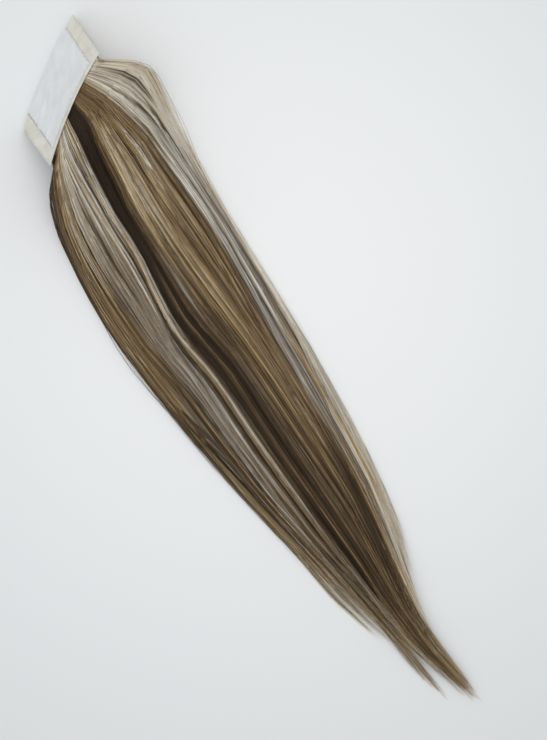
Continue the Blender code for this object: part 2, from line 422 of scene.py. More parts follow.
@dataclass(frozen=True)
class PatchShape:
    """The patch's curved sheet, in the same sizes as the solids."""

    length: float = 0.100
    width: float = 0.090
    lace_thickness: float = 0.001
    silk_thickness: float = 0.001
    clearance: float = 0.0003
    border: float = 0.0125
    raised_border: float = 0.004
    lip: float = 0.021
    roll_radius: float = 0.005
    flap_rise: float = math.radians(42.0)
    roll_skew: float = math.radians(31.5)
    arch: float = 0.010
    bow: float = 0.002
    pull_in: float = 0.05
    place: tuple[float, float] = (0.008161, 0.244509)  # the raised edge's middle, from the model's centre

    @property
    def silk_outer(self) -> float:
        """The silk's outer side, from the lace's inner side."""
        return self.lace_thickness + self.clearance + self.silk_thickness

    @property
    def roll_end(self) -> float:
        """Where the roll ends and the flap starts, round the roll from the tucked edge."""
        return self.lip + self.roll_radius * (math.pi - self.flap_rise)

    @property
    def flap_start(self) -> float:
        """Distance forwards at which the flap starts."""
        return -self.roll_radius * math.sin(self.flap_rise)

    @property
    def flap_reach(self) -> float:
        """Distance forwards of the raised edge."""
        return self.flap_start + (self.width - self.roll_end) * math.cos(self.flap_rise)

    def flap_run(self, forwards: np.ndarray | float) -> np.ndarray | float:
        """Find a place on the flap.

        Args:
            forwards: Its distance forwards.

        Returns:
            Its distance round the roll.
        """
        return self.roll_end + (forwards - self.flap_start) / math.cos(self.flap_rise)

    def point(self, along: np.ndarray, run: np.ndarray) -> np.ndarray:
        """Find points on the sheet's hair side.

        Args:
            along: Shares of the length, from -0.5 to 0.5.
            run: Distances round the roll, from the tucked edge.

        Returns:
            Points in the model's frame.
        """
        along, run = np.broadcast_arrays(np.asarray(along, float), np.asarray(run, float))
        turn = np.clip((run - self.lip) / self.roll_radius, 0.0, math.pi - self.flap_rise)
        past = np.maximum(run - self.roll_end, 0.0)
        forwards = np.maximum(self.lip - run, 0.0) - self.roll_radius * np.sin(turn)
        forwards = forwards + past * math.cos(self.flap_rise)
        height = self.roll_radius * (1.0 - np.cos(turn)) + past * math.sin(self.flap_rise)
        raised = np.clip(past / (self.width - self.roll_end), 0.0, 1.0)
        crown = 1.0 - 4.0 * along**2
        side = along * self.length * (1.0 - self.pull_in * raised)
        x = self.place[0] - side * math.cos(self.roll_skew)
        y = self.place[1] - side * math.sin(self.roll_skew) + self.flap_reach - forwards + self.bow * crown
        return np.stack((x, y, self.silk_outer + height + self.arch * crown * raised**2), axis=-1)

    def normal(self, along: np.ndarray, run: np.ndarray) -> np.ndarray:
        """Find the sheet's normals, which point away from the hair.

        Args:
            along: Shares of the length, from -0.5 to 0.5.
            run: Distances round the roll, from the tucked edge.

        Returns:
            Unit vectors.
        """
        step = 1e-4
        low = np.maximum(run - step * self.width, 0.0)
        high = np.minimum(run + step * self.width, self.width)
        round_roll = self.point(along, high) - self.point(along, low)
        down_length = self.point(along + step, run) - self.point(along - step, run)
        normal = np.cross(down_length, round_roll)
        return normal / np.linalg.norm(normal, axis=-1, keepdims=True)

    def offset(self, along: np.ndarray, run: np.ndarray, distance: np.ndarray | float) -> np.ndarray:
        """Find points set off from the hair side.

        Args:
            along: Shares of the length, from -0.5 to 0.5.
            run: Distances round the roll, from the tucked edge.
            distance: Distances away from the hair.

        Returns:
            Points in the model's frame.
        """
        distance = np.asarray(distance, float)[..., None]
        return self.point(along, run) + distance * self.normal(along, run)


@dataclass(frozen=True)
class FallShape:
    """The hair's fall, in the same sizes as the solids, with the lines along which its strands flow."""

    patch: PatchShape = PatchShape()
    length: float = 0.560
    spread: float = 0.145
    lay_height: float = 0.014
    edge_height: float = 0.0015
    groove: float = 0.0022  # loose strands fill the solids' grooves in part
    root_inset: float = 0.0015
    # The outline, as in the solids. Each row: run, slant, left, right, drape and loft.
    outline: tuple = (
        (0.027, 0.90, -0.385, 0.415, 0.78, 1.00),
        (0.070, 0.81, -0.462, 0.438, 0.47, 1.10),
        (0.127, 0.72, -0.505, 0.408, 0.23, 1.15),
        (0.200, 0.58, -0.540, 0.372, 0.09, 1.15),
        (0.284, 0.36, -0.552, 0.350, 0.03, 1.10),
        (0.377, 0.18, -0.540, 0.328, 0.00, 1.05),
        (0.468, 0.05, -0.520, 0.302, 0.00, 1.00),
        (0.564, 0.00, -0.483, 0.263, 0.00, 0.93),
        (0.663, 0.00, -0.431, 0.210, 0.00, 0.85),
        (0.752, 0.00, -0.385, 0.143, 0.00, 0.75),
        (0.841, 0.00, -0.330, 0.086, 0.00, 0.62),
        (0.930, 0.00, -0.258, 0.055, 0.00, 0.48),
        (1.000, 0.00, -0.188, 0.055, 0.00, 0.34),
    )
    # Flow lines, in thousandths. A line's strand number is its share across at a run of 0.26, and each row
    # gives where the line lies across at the runs in flow_runs.
    flow_runs: tuple = (0, 30, 60, 100, 140, 200, 260, 330, 400, 500, 600, 700, 780, 860, 940, 1000)
    flow_lines: tuple = (
        (0, (10, 50, 45, 20, 10, 0, 0, 0, 0, 0, 0, 0, 0, 40, 50, 20)),
        (30, (100, 110, 75, 45, 30, 30, 30, 30, 30, 25, 20, 25, 30, 90, 80, 50)),
        (155, (200, 190, 175, 150, 145, 150, 155, 160, 185, 175, 160, 170, 190, 190, 50, -60)),
        (270, (240, 245, 255, 260, 267, 275, 270, 245, 255, 230, 210, 205, 232, 220, 90, -20)),
        (285, (247, 253, 265, 276, 283, 291, 285, 255, 264, 238, 219, 209, 237, 250, 300, 340)),
        (320, (260, 270, 290, 310, 320, 330, 320, 280, 285, 255, 235, 220, 250, 270, 330, 380)),
        (365, (355, 360, 365, 370, 375, 400, 365, 335, 365, 350, 330, 315, 330, 315, 370, 430)),
        (485, (520, 500, 480, 485, 475, 490, 485, 480, 520, 510, 495, 495, 490, 460, 500, 530)),
        (580, (570, 555, 560, 565, 570, 575, 580, 590, 610, 615, 620, 620, 580, 540, 560, 580)),
        (660, (600, 590, 600, 620, 635, 650, 660, 680, 695, 700, 690, 680, 640, 580, 590, 600)),
        (750, (660, 650, 660, 700, 715, 735, 750, 755, 755, 755, 745, 730, 690, 620, 620, 620)),
        (880, (740, 710, 750, 805, 830, 870, 880, 860, 840, 825, 820, 790, 750, 670, 650, 640)),
        (940, (800, 790, 840, 890, 915, 935, 940, 930, 920, 910, 905, 900, 840, 730, 680, 660)),
        (1000, (970, 980, 985, 990, 1000, 1000, 1000, 1000, 1000, 1000, 1000, 1000, 990, 860, 740, 700)),
    )
    # Where strands end: strand number and run of the longest there.
    ends: tuple = (
        (0.00, 0.83), (0.05, 0.855), (0.10, 0.88), (0.14, 0.91), (0.20, 0.965), (0.26, 0.975), (0.275, 0.95),
        (0.29, 0.915), (0.32, 0.925), (0.36, 0.945), (0.40, 0.965), (0.44, 0.98), (0.52, 0.985), (0.60, 0.99),
        (0.70, 0.985), (0.80, 0.975), (0.87, 0.955), (0.91, 0.89), (0.95, 0.84), (1.00, 0.79),
    )  # fmt: skip
    # Locks draw together and part from each other near their tips
    lock_count: int = 40
    lock_fan: float = 0.034
    lock_end: float = 0.020

    def table(self) -> np.ndarray:
        """The outline's rows, after the one on the raised edge."""
        patch = self.patch
        half = 0.5 * patch.length * (1.0 - patch.pull_in) * math.cos(patch.roll_skew) / self.spread
        return np.array(((0.0, 1.0, -half, half, 1.0, 0.0), *self.outline))

    def values(self, run: np.ndarray) -> np.ndarray:
        """Find the outline's columns, on smooth curves through its rows.

        Args:
            run: Shares of the hair's length.

        Returns:
            A row for each share, in the outline's own columns.
        """
        table = self.table()
        places = table[:, 0]
        slopes = np.gradient(table, places, axis=0)
        i, t = bracket(places, np.minimum(run, 1.0))
        gap = np.diff(places)[i][..., None]
        return curve_between(t[..., None], table[i], gap * slopes[i], table[i + 1], gap * slopes[i + 1])

    def plan(self, run: np.ndarray, across: np.ndarray) -> np.ndarray:
        """Find plan points of the fall.

        Args:
            run: Shares of the hair's length.
            across: Shares across, from the left side to the right.

        Returns:
            Points x and y in the model's frame.
        """
        row = self.values(run)
        patch = self.patch
        drop = row[..., 1] * 0.5 * patch.length * (1.0 - patch.pull_in) * math.sin(patch.roll_skew)
        down = np.asarray(run, float) * self.length
        x = patch.place[0] + self.spread * (row[..., 2] + (row[..., 3] - row[..., 2]) * across)
        return np.stack((x, patch.place[1] - down + drop * (2.0 * across - 1.0)), axis=-1)

    def root_along(self, across: np.ndarray) -> np.ndarray:
        """Where shares across the fall meet the patch, as shares along it."""
        return (0.5 - self.root_inset / self.patch.length) * (1.0 - 2.0 * across)

    def boxiness(self, run: np.ndarray) -> np.ndarray:
        """How square the fall's section is at shares of the hair's length."""
        return 2.4 + 5.0 * np.clip(self.values(run)[..., 4], 0.0, 1.0)

    def crown(self, run: np.ndarray, across: np.ndarray) -> np.ndarray:
        """Find the height of the fall's top, without the grooves between its locks.

        Args:
            run: Shares of the hair's length.
            across: Shares across.

        Returns:
            Heights above the surface.
        """
        run, across = np.broadcast_arrays(np.asarray(run, float), np.clip(across, 0.0, 1.0))
        row = self.values(run)
        raised = np.full(across.shape, self.patch.width)
        edge = self.patch.offset(self.root_along(across), raised, -self.patch.clearance)[..., 2]
        drape = np.clip(row[..., 4], 0.0, 1.0)
        rounding = (1.0 - np.abs(2.0 * across - 1.0) ** self.boxiness(run)) ** 0.5
        return np.maximum(self.edge_height, (drape * edge + row[..., 5] * self.lay_height) * rounding)

    def under_flap(self, forwards: np.ndarray, across: np.ndarray, depth: np.ndarray) -> np.ndarray:
        """Find points under the flap.

        Args:
            forwards: Distances forwards.
            across: Shares across the fall.
            depth: Depths below the flap's hair side.

        Returns:
            Points in the model's frame.
        """
        run = self.patch.flap_run(forwards)
        return self.patch.offset(self.root_along(across), run, -self.patch.clearance - depth)

    def flow(self, run: np.ndarray, number: np.ndarray) -> np.ndarray:
        """Find where strands lie across.

        Args:
            run: Shares of the hair's length.
            number: Strand numbers, from 0 at the left to 1 at the right.

        Returns:
            Shares across.
        """
        run, number = np.broadcast_arrays(np.asarray(run, float), np.asarray(number, float))
        numbers = np.array([line[0] for line in self.flow_lines]) / 1000
        lines = np.array([line[1] for line in self.flow_lines]) / 1000
        runs = np.array(self.flow_runs) / 1000
        slopes = np.gradient(lines, runs, axis=1)
        i, t = bracket(runs, np.minimum(run, 1.0))
        gap = np.diff(runs)[i]
        k, share = bracket(numbers, number)
        left, right = (
            curve_between(t, lines[j, i], gap * slopes[j, i], lines[j, i + 1], gap * slopes[j, i + 1])
            for j in (k, k + 1)
        )
        return left * (1.0 - share) + right * share

    def lock_draws(self, number: np.ndarray) -> tuple[np.ndarray, np.ndarray, np.ndarray]:
        """Find the small locks that strands belong to.

        Args:
            number: Strand numbers.

        Returns:
            Each one's distance from its lock's middle, and its lock's own sideways and lengthwise draws.
        """
        rng = np.random.default_rng(5)
        draws = rng.normal(0.0, 1.0, (2, self.lock_count + 1))
        lock = np.clip((number * self.lock_count).astype(int), 0, self.lock_count)
        middle = (lock + 0.5) / self.lock_count
        return number - middle, np.clip(draws[0][lock], -2.0, 2.0), np.clip(draws[1][lock], -2.0, 1.2)

    def end_run(self, number: np.ndarray) -> np.ndarray:
        """Find where the longest strands end, as shares of the hair's length."""
        places, runs = np.array(self.ends).T
        return np.interp(number, places, runs) + self.lock_end * self.lock_draws(np.asarray(number))[2]


@dataclass(frozen=True)
class Streak:
    """One dyed streak: its strand number and half its width, its tone and ash, and its first and last run."""

    number: float
    half: float
    tone: float
    ash: float
    start: float
    stop: float


@dataclass(frozen=True)
class DyeChart:
    """The hair's colouring. Tone runs from 0, near black, to 1, pale. Ash runs from 0, golden, to 1, ash."""

    band_runs: tuple = (0.02, 0.06, 0.12, 0.25, 0.48, 0.66, 0.80, 0.92)
    # Broad bands. Each row: the strand number where it stops in thousandths, its tones at band_runs in
    # hundredths, and its ash there in tenths.
    bands: tuple = (
        (12, (18, 28, 28, 28, 20, 26, 50, 60), (0, 0, 0, 0, 1, 1, 3, 4)),
        (30, (26, 34, 36, 44, 34, 42, 55, 60), (1, 2, 2, 2, 1, 1, 3, 4)),
        (50, (22, 26, 44, 58, 46, 54, 55, 60), (1, 2, 2, 1, 1, 1, 2, 3)),
        (100, (45, 56, 64, 62, 54, 58, 55, 60), (1, 1, 1, 1, 2, 2, 2, 3)),
        (125, (55, 60, 64, 46, 34, 38, 48, 60), (2, 3, 2, 1, 2, 2, 4, 3)),
        (155, (60, 62, 64, 48, 44, 44, 48, 58), (1, 2, 2, 1, 1, 1, 3, 3)),
        (200, (74, 72, 66, 52, 54, 52, 32, 39), (8, 8, 8, 9, 9, 9, 4, 3)),
        (240, (76, 72, 60, 50, 55, 52, 30, 36), (7, 8, 8, 9, 9, 9, 3, 2)),
        (280, (78, 70, 52, 42, 53, 46, 27, 36), (7, 8, 7, 5, 8, 6, 2, 2)),
        (335, (78, 74, 66, 60, 54, 40, 24, 36), (7, 7, 8, 8, 7, 3, 1, 2)),
        (350, (76, 72, 60, 30, 30, 32, 21, 33), (7, 7, 8, 3, 2, 1, 1, 2)),
        (390, (70, 66, 66, 66, 38, 32, 19, 32), (7, 8, 8, 8, 4, 2, 1, 1)),
        (485, (5, 5, 5, 7, 13, 18, 17, 20), (0, 0, 0, 0, 1, 1, 1, 1)),
        (530, (24, 30, 28, 27, 25, 23, 20, 21), (0, 0, 1, 2, 2, 2, 1, 1)),
        # The next five bands are darker at the first run, next to the raised edge, than farther down
        (600, (34, 62, 60, 40, 31, 25, 20, 22), (0, 1, 1, 2, 2, 1, 1, 1)),
        (660, (32, 62, 58, 52, 39, 29, 19, 22), (0, 1, 1, 1, 1, 1, 1, 1)),
        (720, (34, 56, 58, 50, 42, 29, 19, 24), (0, 0, 1, 1, 1, 1, 1, 1)),
        (780, (32, 50, 56, 44, 42, 25, 19, 26), (0, 0, 1, 1, 1, 1, 1, 1)),
        (840, (38, 50, 54, 48, 44, 22, 26, 36), (0, 0, 1, 0, 1, 1, 1, 2)),
        (875, (52, 46, 44, 36, 36, 28, 50, 60), (1, 2, 3, 2, 3, 2, 2, 3)),
        (920, (74, 74, 64, 64, 50, 48, 66, 80), (7, 8, 9, 9, 9, 4, 4, 5)),
        (960, (78, 74, 68, 62, 48, 62, 82, 90), (7, 7, 9, 9, 7, 4, 5, 6)),
        (1010, (90, 90, 92, 90, 78, 86, 92, 95), (6, 6, 7, 7, 7, 6, 6, 7)),
    )
    band_softness: float = 0.006
    # Dyed streaks. Each row: strand number and half its width in thousandths, then tone, ash, first and last
    # run in hundredths.
    streaks: tuple = (
        # The caramel edge
        (120, 6, 66, 90, 3, 14), (90, 4, 46, 20, 10, 22), (65, 4, 66, 60, 13, 26), (135, 5, 62, 70, 13, 22),
        (110, 5, 30, 20, 18, 40), (140, 5, 28, 10, 25, 40), (55, 8, 60, 10, 40, 60),
        (88, 12, 50, 85, 44, 70), (65, 12, 62, 10, 58, 74), (118, 8, 20, 10, 38, 80),
        (136, 5, 46, 10, 40, 68), (152, 5, 26, 10, 40, 66), (100, 12, 90, 60, 75, 88),
        (145, 6, 52, 10, 66, 76),
        # The platinum section
        (200, 8, 86, 70, 4, 16), (172, 6, 34, 30, 12, 20), (235, 6, 36, 50, 9, 18), (262, 7, 48, 80, 6, 13),
        (282, 5, 84, 70, 4, 16), (310, 8, 90, 70, 4, 28), (345, 6, 45, 80, 6, 15), (363, 6, 88, 70, 9, 30),
        (374, 4, 30, 30, 16, 36), (168, 4, 30, 20, 14, 32), (232, 3, 80, 80, 15, 36),
        (212, 3, 36, 30, 30, 46), (300, 4, 42, 50, 18, 34), (276, 3, 78, 80, 28, 46),
        (258, 3, 36, 30, 34, 56), (366, 4, 76, 80, 28, 70), (365, 7, 52, 80, 68, 84),
        (381, 5, 52, 20, 0, 4.5), (326, 5, 76, 80, 26, 58), (320, 6, 56, 80, 58, 72),
        (205, 5, 66, 90, 15, 38), (180, 5, 40, 60, 20, 40), (222, 5, 36, 40, 18, 32),
        (247, 6, 24, 20, 14, 30), (270, 8, 34, 30, 16, 32), (255, 4, 60, 80, 16, 30),
        (346, 7, 28, 20, 20, 36), (225, 5, 40, 70, 40, 60), (345, 5, 26, 20, 44, 70),
        (385, 4, 20, 10, 34, 66), (285, 4, 26, 20, 60, 84), (240, 4, 44, 60, 68, 80),
        (190, 5, 48, 80, 66, 78),
        # The dark streak
        (440, 4, 30, 20, 24, 40), (440, 6, 34, 10, 40, 86), (410, 4, 18, 10, 25, 50),
        (412, 20, 6, 0, 62, 80), (470, 8, 5, 0, 40, 58), (492, 6, 36, 10, 20, 36), (505, 4, 16, 10, 30, 60),
        (519, 5, 56, 100, 20, 32), (510, 5, 28, 10, 50, 80),
        # The golden section
        (585, 5, 66, 80, 5, 14), (632, 13, 68, 80, 13, 20), (657, 6, 74, 80, 6.5, 19),
        (667, 5, 34, 10, 3.5, 7), (700, 5, 22, 10, 6.5, 14), (640, 12, 24, 10, 0, 2.5),
        (760, 8, 66, 90, 8.5, 14), (738, 5, 34, 10, 4, 10), (778, 6, 34, 10, 5, 11),
        (720, 4, 40, 10, 10, 18), (545, 6, 42, 10, 5, 20), (575, 4, 26, 10, 16, 34),
        (610, 5, 60, 10, 15, 30), (655, 5, 62, 90, 20, 34), (678, 5, 62, 10, 18, 30),
        (700, 5, 64, 85, 18, 38), (715, 5, 62, 10, 22, 34), (737, 6, 28, 10, 20, 40),
        (765, 6, 28, 10, 18, 40), (800, 7, 58, 10, 14, 60), (825, 5, 34, 10, 14, 34),
        (562, 5, 14, 10, 36, 70), (545, 5, 36, 10, 36, 70), (580, 5, 34, 10, 42, 76),
        (602, 6, 20, 10, 38, 62), (602, 8, 10, 0, 62, 80), (632, 6, 44, 20, 34, 58),
        (662, 5, 58, 40, 38, 62), (685, 5, 22, 10, 34, 60), (705, 6, 50, 10, 34, 60),
        (735, 6, 54, 10, 40, 62), (758, 5, 20, 10, 42, 62), (785, 5, 50, 10, 38, 56),
        (812, 6, 48, 10, 40, 58), (720, 5, 34, 10, 60, 76), (695, 14, 13, 0, 64, 80),
        (765, 22, 10, 0, 62, 80), (830, 12, 12, 0, 60, 78),
        # The ash section and the pale edge
        (905, 6, 62, 0, 0, 3), (922, 5, 48, 90, 2, 10), (965, 6, 46, 80, 2, 6), (905, 7, 88, 70, 3, 9),
        (945, 6, 86, 70, 3, 12), (932, 5, 26, 30, 7, 12), (888, 6, 30, 30, 9, 14), (950, 4, 34, 30, 9, 15),
        (862, 6, 38, 60, 13, 22), (868, 6, 18, 10, 17, 32), (892, 7, 76, 90, 18, 50),
        (910, 5, 44, 80, 26, 50), (927, 5, 34, 50, 20, 32), (936, 5, 64, 90, 28, 46),
        (955, 4, 38, 50, 20, 40), (972, 5, 58, 80, 16, 36), (945, 6, 56, 10, 42, 66),
        (958, 6, 34, 40, 40, 56), (956, 10, 58, 10, 56, 68), (936, 6, 82, 60, 56, 72),
        (905, 6, 58, 10, 56, 82), (888, 8, 60, 10, 64, 84), (918, 10, 80, 60, 76, 90),
        (870, 6, 54, 10, 70, 86), (972, 3, 52, 30, 62, 90), (986, 3, 60, 40, 66, 90),
    )  # fmt: skip
    streak_fade: float = 0.03
    # Strands gather into fine lines, each about 0.8 mm wide, a little lighter or darker than the next.
    line_count: int = 170
    line_rows: int = 7
    line_tone: float = 0.085

    def fine_lines(self, run: np.ndarray, number: np.ndarray) -> np.ndarray:
        """Find how much lighter or darker the fine lines are than the dye under them.

        Args:
            run: Shares of the hair's length.
            number: Strand numbers.

        Returns:
            Shifts of tone.
        """
        draws = np.random.default_rng(9).normal(0.0, 1.0, (self.line_rows, self.line_count + 1))
        down = np.clip(run, 0.0, 0.9999) * (self.line_rows - 1)
        i = down.astype(int)
        share = smooth(down - i, 0.0, 1.0)
        k = np.clip((number * self.line_count).astype(int), 0, self.line_count)
        return self.line_tone * np.clip(draws[i, k] * (1.0 - share) + draws[i + 1, k] * share, -2.0, 2.0)

    def broad_dye(self, run: np.ndarray, number: np.ndarray) -> list[np.ndarray]:
        """Find the broad bands' dye.

        Args:
            run: Shares of the hair's length.
            number: Strand numbers.

        Returns:
            Tones and ash, from 0 to 1.
        """
        steps = 1000
        stops = np.array([band[0] / 1000 for band in self.bands])
        band = np.searchsorted(stops, np.linspace(0.0, 1.0, steps + 1))
        width = int(self.band_softness * (steps + 1)) | 1
        blur = np.hanning(width + 2)[1:-1]
        blur /= blur.sum()
        k, share = bracket(np.array(self.band_runs), run)
        share = smooth(share, 0.0, 1.0)
        place = np.clip(number * steps, 0, steps).astype(int)
        found = []
        for column, unit in ((1, 100), (2, 10)):
            table = (np.array([row[column] for row in self.bands]) / unit)[band]
            padded = np.pad(table, ((width // 2, width // 2), (0, 0)), mode="edge")
            soft = np.stack([np.convolve(line, blur, mode="valid") for line in padded.T])
            found.append(soft[k, place] * (1.0 - share) + soft[k + 1, place] * share)
        return found

    def dye(self, run: np.ndarray, number: np.ndarray) -> tuple[np.ndarray, np.ndarray]:
        """Find the hair's dye.

        Args:
            run: Shares of the hair's length.
            number: Strand numbers.

        Returns:
            Tones and ash, from 0 to 1.
        """
        run, number = np.broadcast_arrays(np.asarray(run, float), np.asarray(number, float))
        tone, ash = self.broad_dye(run, number)
        fade = self.streak_fade
        for row in self.streaks:
            streak = Streak(row[0] / 1000, row[1] / 1000, *(value / 100 for value in row[2:]))
            weight = 1.0 - smooth(np.abs(number - streak.number) / streak.half, 0.55, 1.45)
            weight = weight * smooth(run, streak.start - fade, streak.start + 0.2 * fade)
            weight = weight * (1.0 - smooth(run, streak.stop - 0.2 * fade, streak.stop + fade))
            tone = tone + (streak.tone - tone) * weight
            ash = ash + (streak.ash - ash) * weight
        # The fine lines show most in middling hair and least in the darkest and the palest
        strength = 0.25 + 0.75 * smooth(tone, 0.05, 0.35) + 0.6 * smooth(tone, 0.45, 0.65)
        strength = strength - 1.2 * smooth(tone, 0.80, 0.88)
        return tone + self.fine_lines(run, number) * strength, ash


# Finishes


@dataclass(frozen=True)
class HairFinish:
    """Dyed human hair: smooth keratin cuticle, so each strand has a narrow soft gloss along its length."""

    name: str = "Dyed human hair"
    golden: tuple = (
        (0.00, "#261b0f"), (0.16, "#43321f"), (0.31, "#665034"), (0.47, "#8a6f49"), (0.63, "#b09260"),
        (0.79, "#d3b882"), (1.00, "#f5eacb"),
    )  # fmt: skip
    ashen: tuple = (
        (0.00, "#251d16"), (0.16, "#42392f"), (0.31, "#635b50"), (0.47, "#868079"), (0.63, "#ada8a0"),
        (0.79, "#d1cdc6"), (1.00, "#f7f5ef"),
    )  # fmt: skip
    roughness: float = 0.5
    gloss: float = 0.22
    ior: float = 1.55  # of keratin

    def build(self) -> bpy.types.Material:
        """Make the material, which reads its tone and ash from the piece's own map."""
        constants = {"Roughness": self.roughness, "Specular IOR Level": self.gloss, "IOR": self.ior}
        material, tree, shader = new_surface(self.name, constants)
        place = add_node(tree, "ShaderNodeUVMap", uv_map=TONE_MAP)
        parts = add_node(tree, "ShaderNodeSeparateXYZ", {"Vector": place})
        ramps = []
        for stops in (self.golden, self.ashen):
            ramps.append(add_node(tree, "ShaderNodeValToRGB", {"Fac": parts.outputs[0]}))
            set_ramp(ramps[-1], stops)
        colours = {"Factor_Float": parts.outputs[1], "A_Color": ramps[0], "B_Color": ramps[1]}
        mixed = add_node(tree, "ShaderNodeMix", colours, data_type="RGBA")
        tree.links.new(mixed.outputs["Result"], shader.inputs["Base Color"])
        return material


@dataclass(frozen=True)
class LaceFinish:
    """Swiss lace: fine matt nylon net, flesh beige, with hardly any gloss and slightly uneven dye."""

    name: str = "Swiss lace net"
    thread: str = "#eae9e2"
    shadow: str = "#dcd9ce"
    dye_scale: float = 120.0  # blotches of dye about 8 mm wide
    fibre_size: float = 0.0004

    def build(self) -> bpy.types.Material:
        """Make the material."""
        constants = {"Roughness": 0.8, "Specular IOR Level": 0.25, "Sheen Weight": 0.2}
        material, tree, shader = new_surface(self.name, constants)
        place = add_node(tree, "ShaderNodeTexCoord").outputs["Object"]
        dye = add_node(tree, "ShaderNodeTexNoise", {"Vector": place, "Scale": self.dye_scale, "Detail": 3.0})
        ramp = add_node(tree, "ShaderNodeValToRGB", {"Fac": dye.outputs["Fac"]})
        set_ramp(ramp, ((0.3, self.shadow), (0.7, self.thread)))
        tree.links.new(ramp.outputs["Color"], shader.inputs["Base Color"])
        fibres = {"Vector": place, "Scale": 1.0 / self.fibre_size, "Detail": 2.0}
        fibre = add_node(tree, "ShaderNodeTexNoise", fibres)
        relief = {"Height": fibre.outputs["Fac"], "Strength": 0.35, "Distance": 0.0001}
        tree.links.new(add_node(tree, "ShaderNodeBump", relief).outputs["Normal"], shader.inputs["Normal"])
        return material


@dataclass(frozen=True)
class SilkFinish:
    """Silk satin: long floats in one direction give a soft broad gloss, and the weave shows only close by."""

    name: str = "White silk satin"
    light: str = "#e4e6e8"
    dark: str = "#d9dcde"
    float_spacing: float = 0.0005  # the real one is about 0.1 mm, too fine to show
    float_length: float = 5.0  # in float spacings
    weave_turn: float = math.radians(27.0)  # of the floats from the cut's edges

    def build(self) -> bpy.types.Material:
        """Make the material, whose weave follows the cloth's flat cut."""
        material, tree, shader = new_surface(self.name, {"Specular IOR Level": 0.5, "Sheen Weight": 0.25})
        place = add_node(tree, "ShaderNodeUVMap", uv_map=CLOTH_MAP)
        scale = CLOTH_UNIT / self.float_spacing
        lie = {"Rotation": (0.0, 0.0, self.weave_turn), "Scale": (scale, scale / self.float_length, 1.0)}
        turned = add_node(tree, "ShaderNodeMapping", {"Vector": place, **lie})
        weave = add_node(tree, "ShaderNodeTexNoise", {"Vector": turned, "Scale": 1.0, "Detail": 2.0})
        floats = weave.outputs["Fac"]
        # Soft lighter and darker blotches, about 17 mm across, over the whole cut
        soft_blotches = add_node(tree, "ShaderNodeTexNoise", {"Vector": place, "Scale": 6.0, "Detail": 4.0})
        ramp = add_node(tree, "ShaderNodeValToRGB", {"Fac": soft_blotches.outputs["Fac"]})
        set_ramp(ramp, ((0.35, self.dark), (0.65, self.light)))
        tree.links.new(ramp.outputs["Color"], shader.inputs["Base Color"])
        gloss = add_node(tree, "ShaderNodeMapRange", {"Value": floats, "To Min": 0.42, "To Max": 0.58})
        tree.links.new(gloss.outputs[0], shader.inputs["Roughness"])
        bump = add_node(tree, "ShaderNodeBump", {"Height": floats, "Strength": 0.25, "Distance": 0.00008})
        tree.links.new(bump.outputs["Normal"], shader.inputs["Normal"])
        return material


@dataclass(frozen=True)
class ThreadFinish:
    """Polyester sewing thread: twisted, off-white, with a slight painted highlight on each twist and painted
    shade between.
    """

    name: str = "Polyester sewing thread"
    light: str = "#e0dfda"
    dark: str = "#cccac3"
    twist: float = 0.0006

    def build(self) -> bpy.types.Material:
        """Make the material."""
        material, tree, shader = new_surface(self.name, {"Roughness": 0.5})
        place = add_node(tree, "ShaderNodeTexCoord").outputs["Object"]
        # A wave texture's own spacing is a twentieth of its unit
        twists = {"Vector": place, "Scale": 1.0 / self.twist / 20.0, "Distortion": 1.5, "Detail": 1.0}
        wave = add_node(tree, "ShaderNodeTexWave", twists, bands_direction="DIAGONAL")
        # Painted highlight and shade: the twist's bands are made lighter and darker
        ramp = add_node(tree, "ShaderNodeValToRGB", {"Fac": wave.outputs["Fac"]})
        set_ramp(ramp, ((0.2, self.dark), (0.8, self.light)))
        tree.links.new(ramp.outputs["Color"], shader.inputs["Base Color"])
        return material


@dataclass(frozen=True)
class FloorFinish:
    """Seamless studio paper: matt, nearly white, with painted falloff of light: greyer away from the set's
    middle.
    """

    name: str = "Seamless studio paper"
    light: str = "#f2f3f3"
    middle: str = "#e9ebec"
    dark: str = "#d8dada"
    centre: tuple = (0.06, 0.05, 0.0)
    reach: float = 0.62

    def build(self) -> bpy.types.Material:
        """Make the material."""
        material, tree, shader = new_surface(self.name, {"Roughness": 0.9, "Specular IOR Level": 0.2})
        place = add_node(tree, "ShaderNodeTexCoord").outputs["Object"]
        # Painted falloff of light: the paper is painted greyer farther from the set's middle
        away = add_node(tree, "ShaderNodeVectorMath", (place, self.centre), operation="DISTANCE")
        share = add_node(tree, "DIVIDE", (away.outputs["Value"], self.reach))
        ramp = add_node(tree, "ShaderNodeValToRGB", {"Fac": share})
        set_ramp(ramp, ((0.1, self.light), (0.42, self.middle), (0.78, self.dark)))
        ramp.color_ramp.interpolation = "B_SPLINE"
        tree.links.new(ramp.outputs["Color"], shader.inputs["Base Color"])
        return material


# The patch


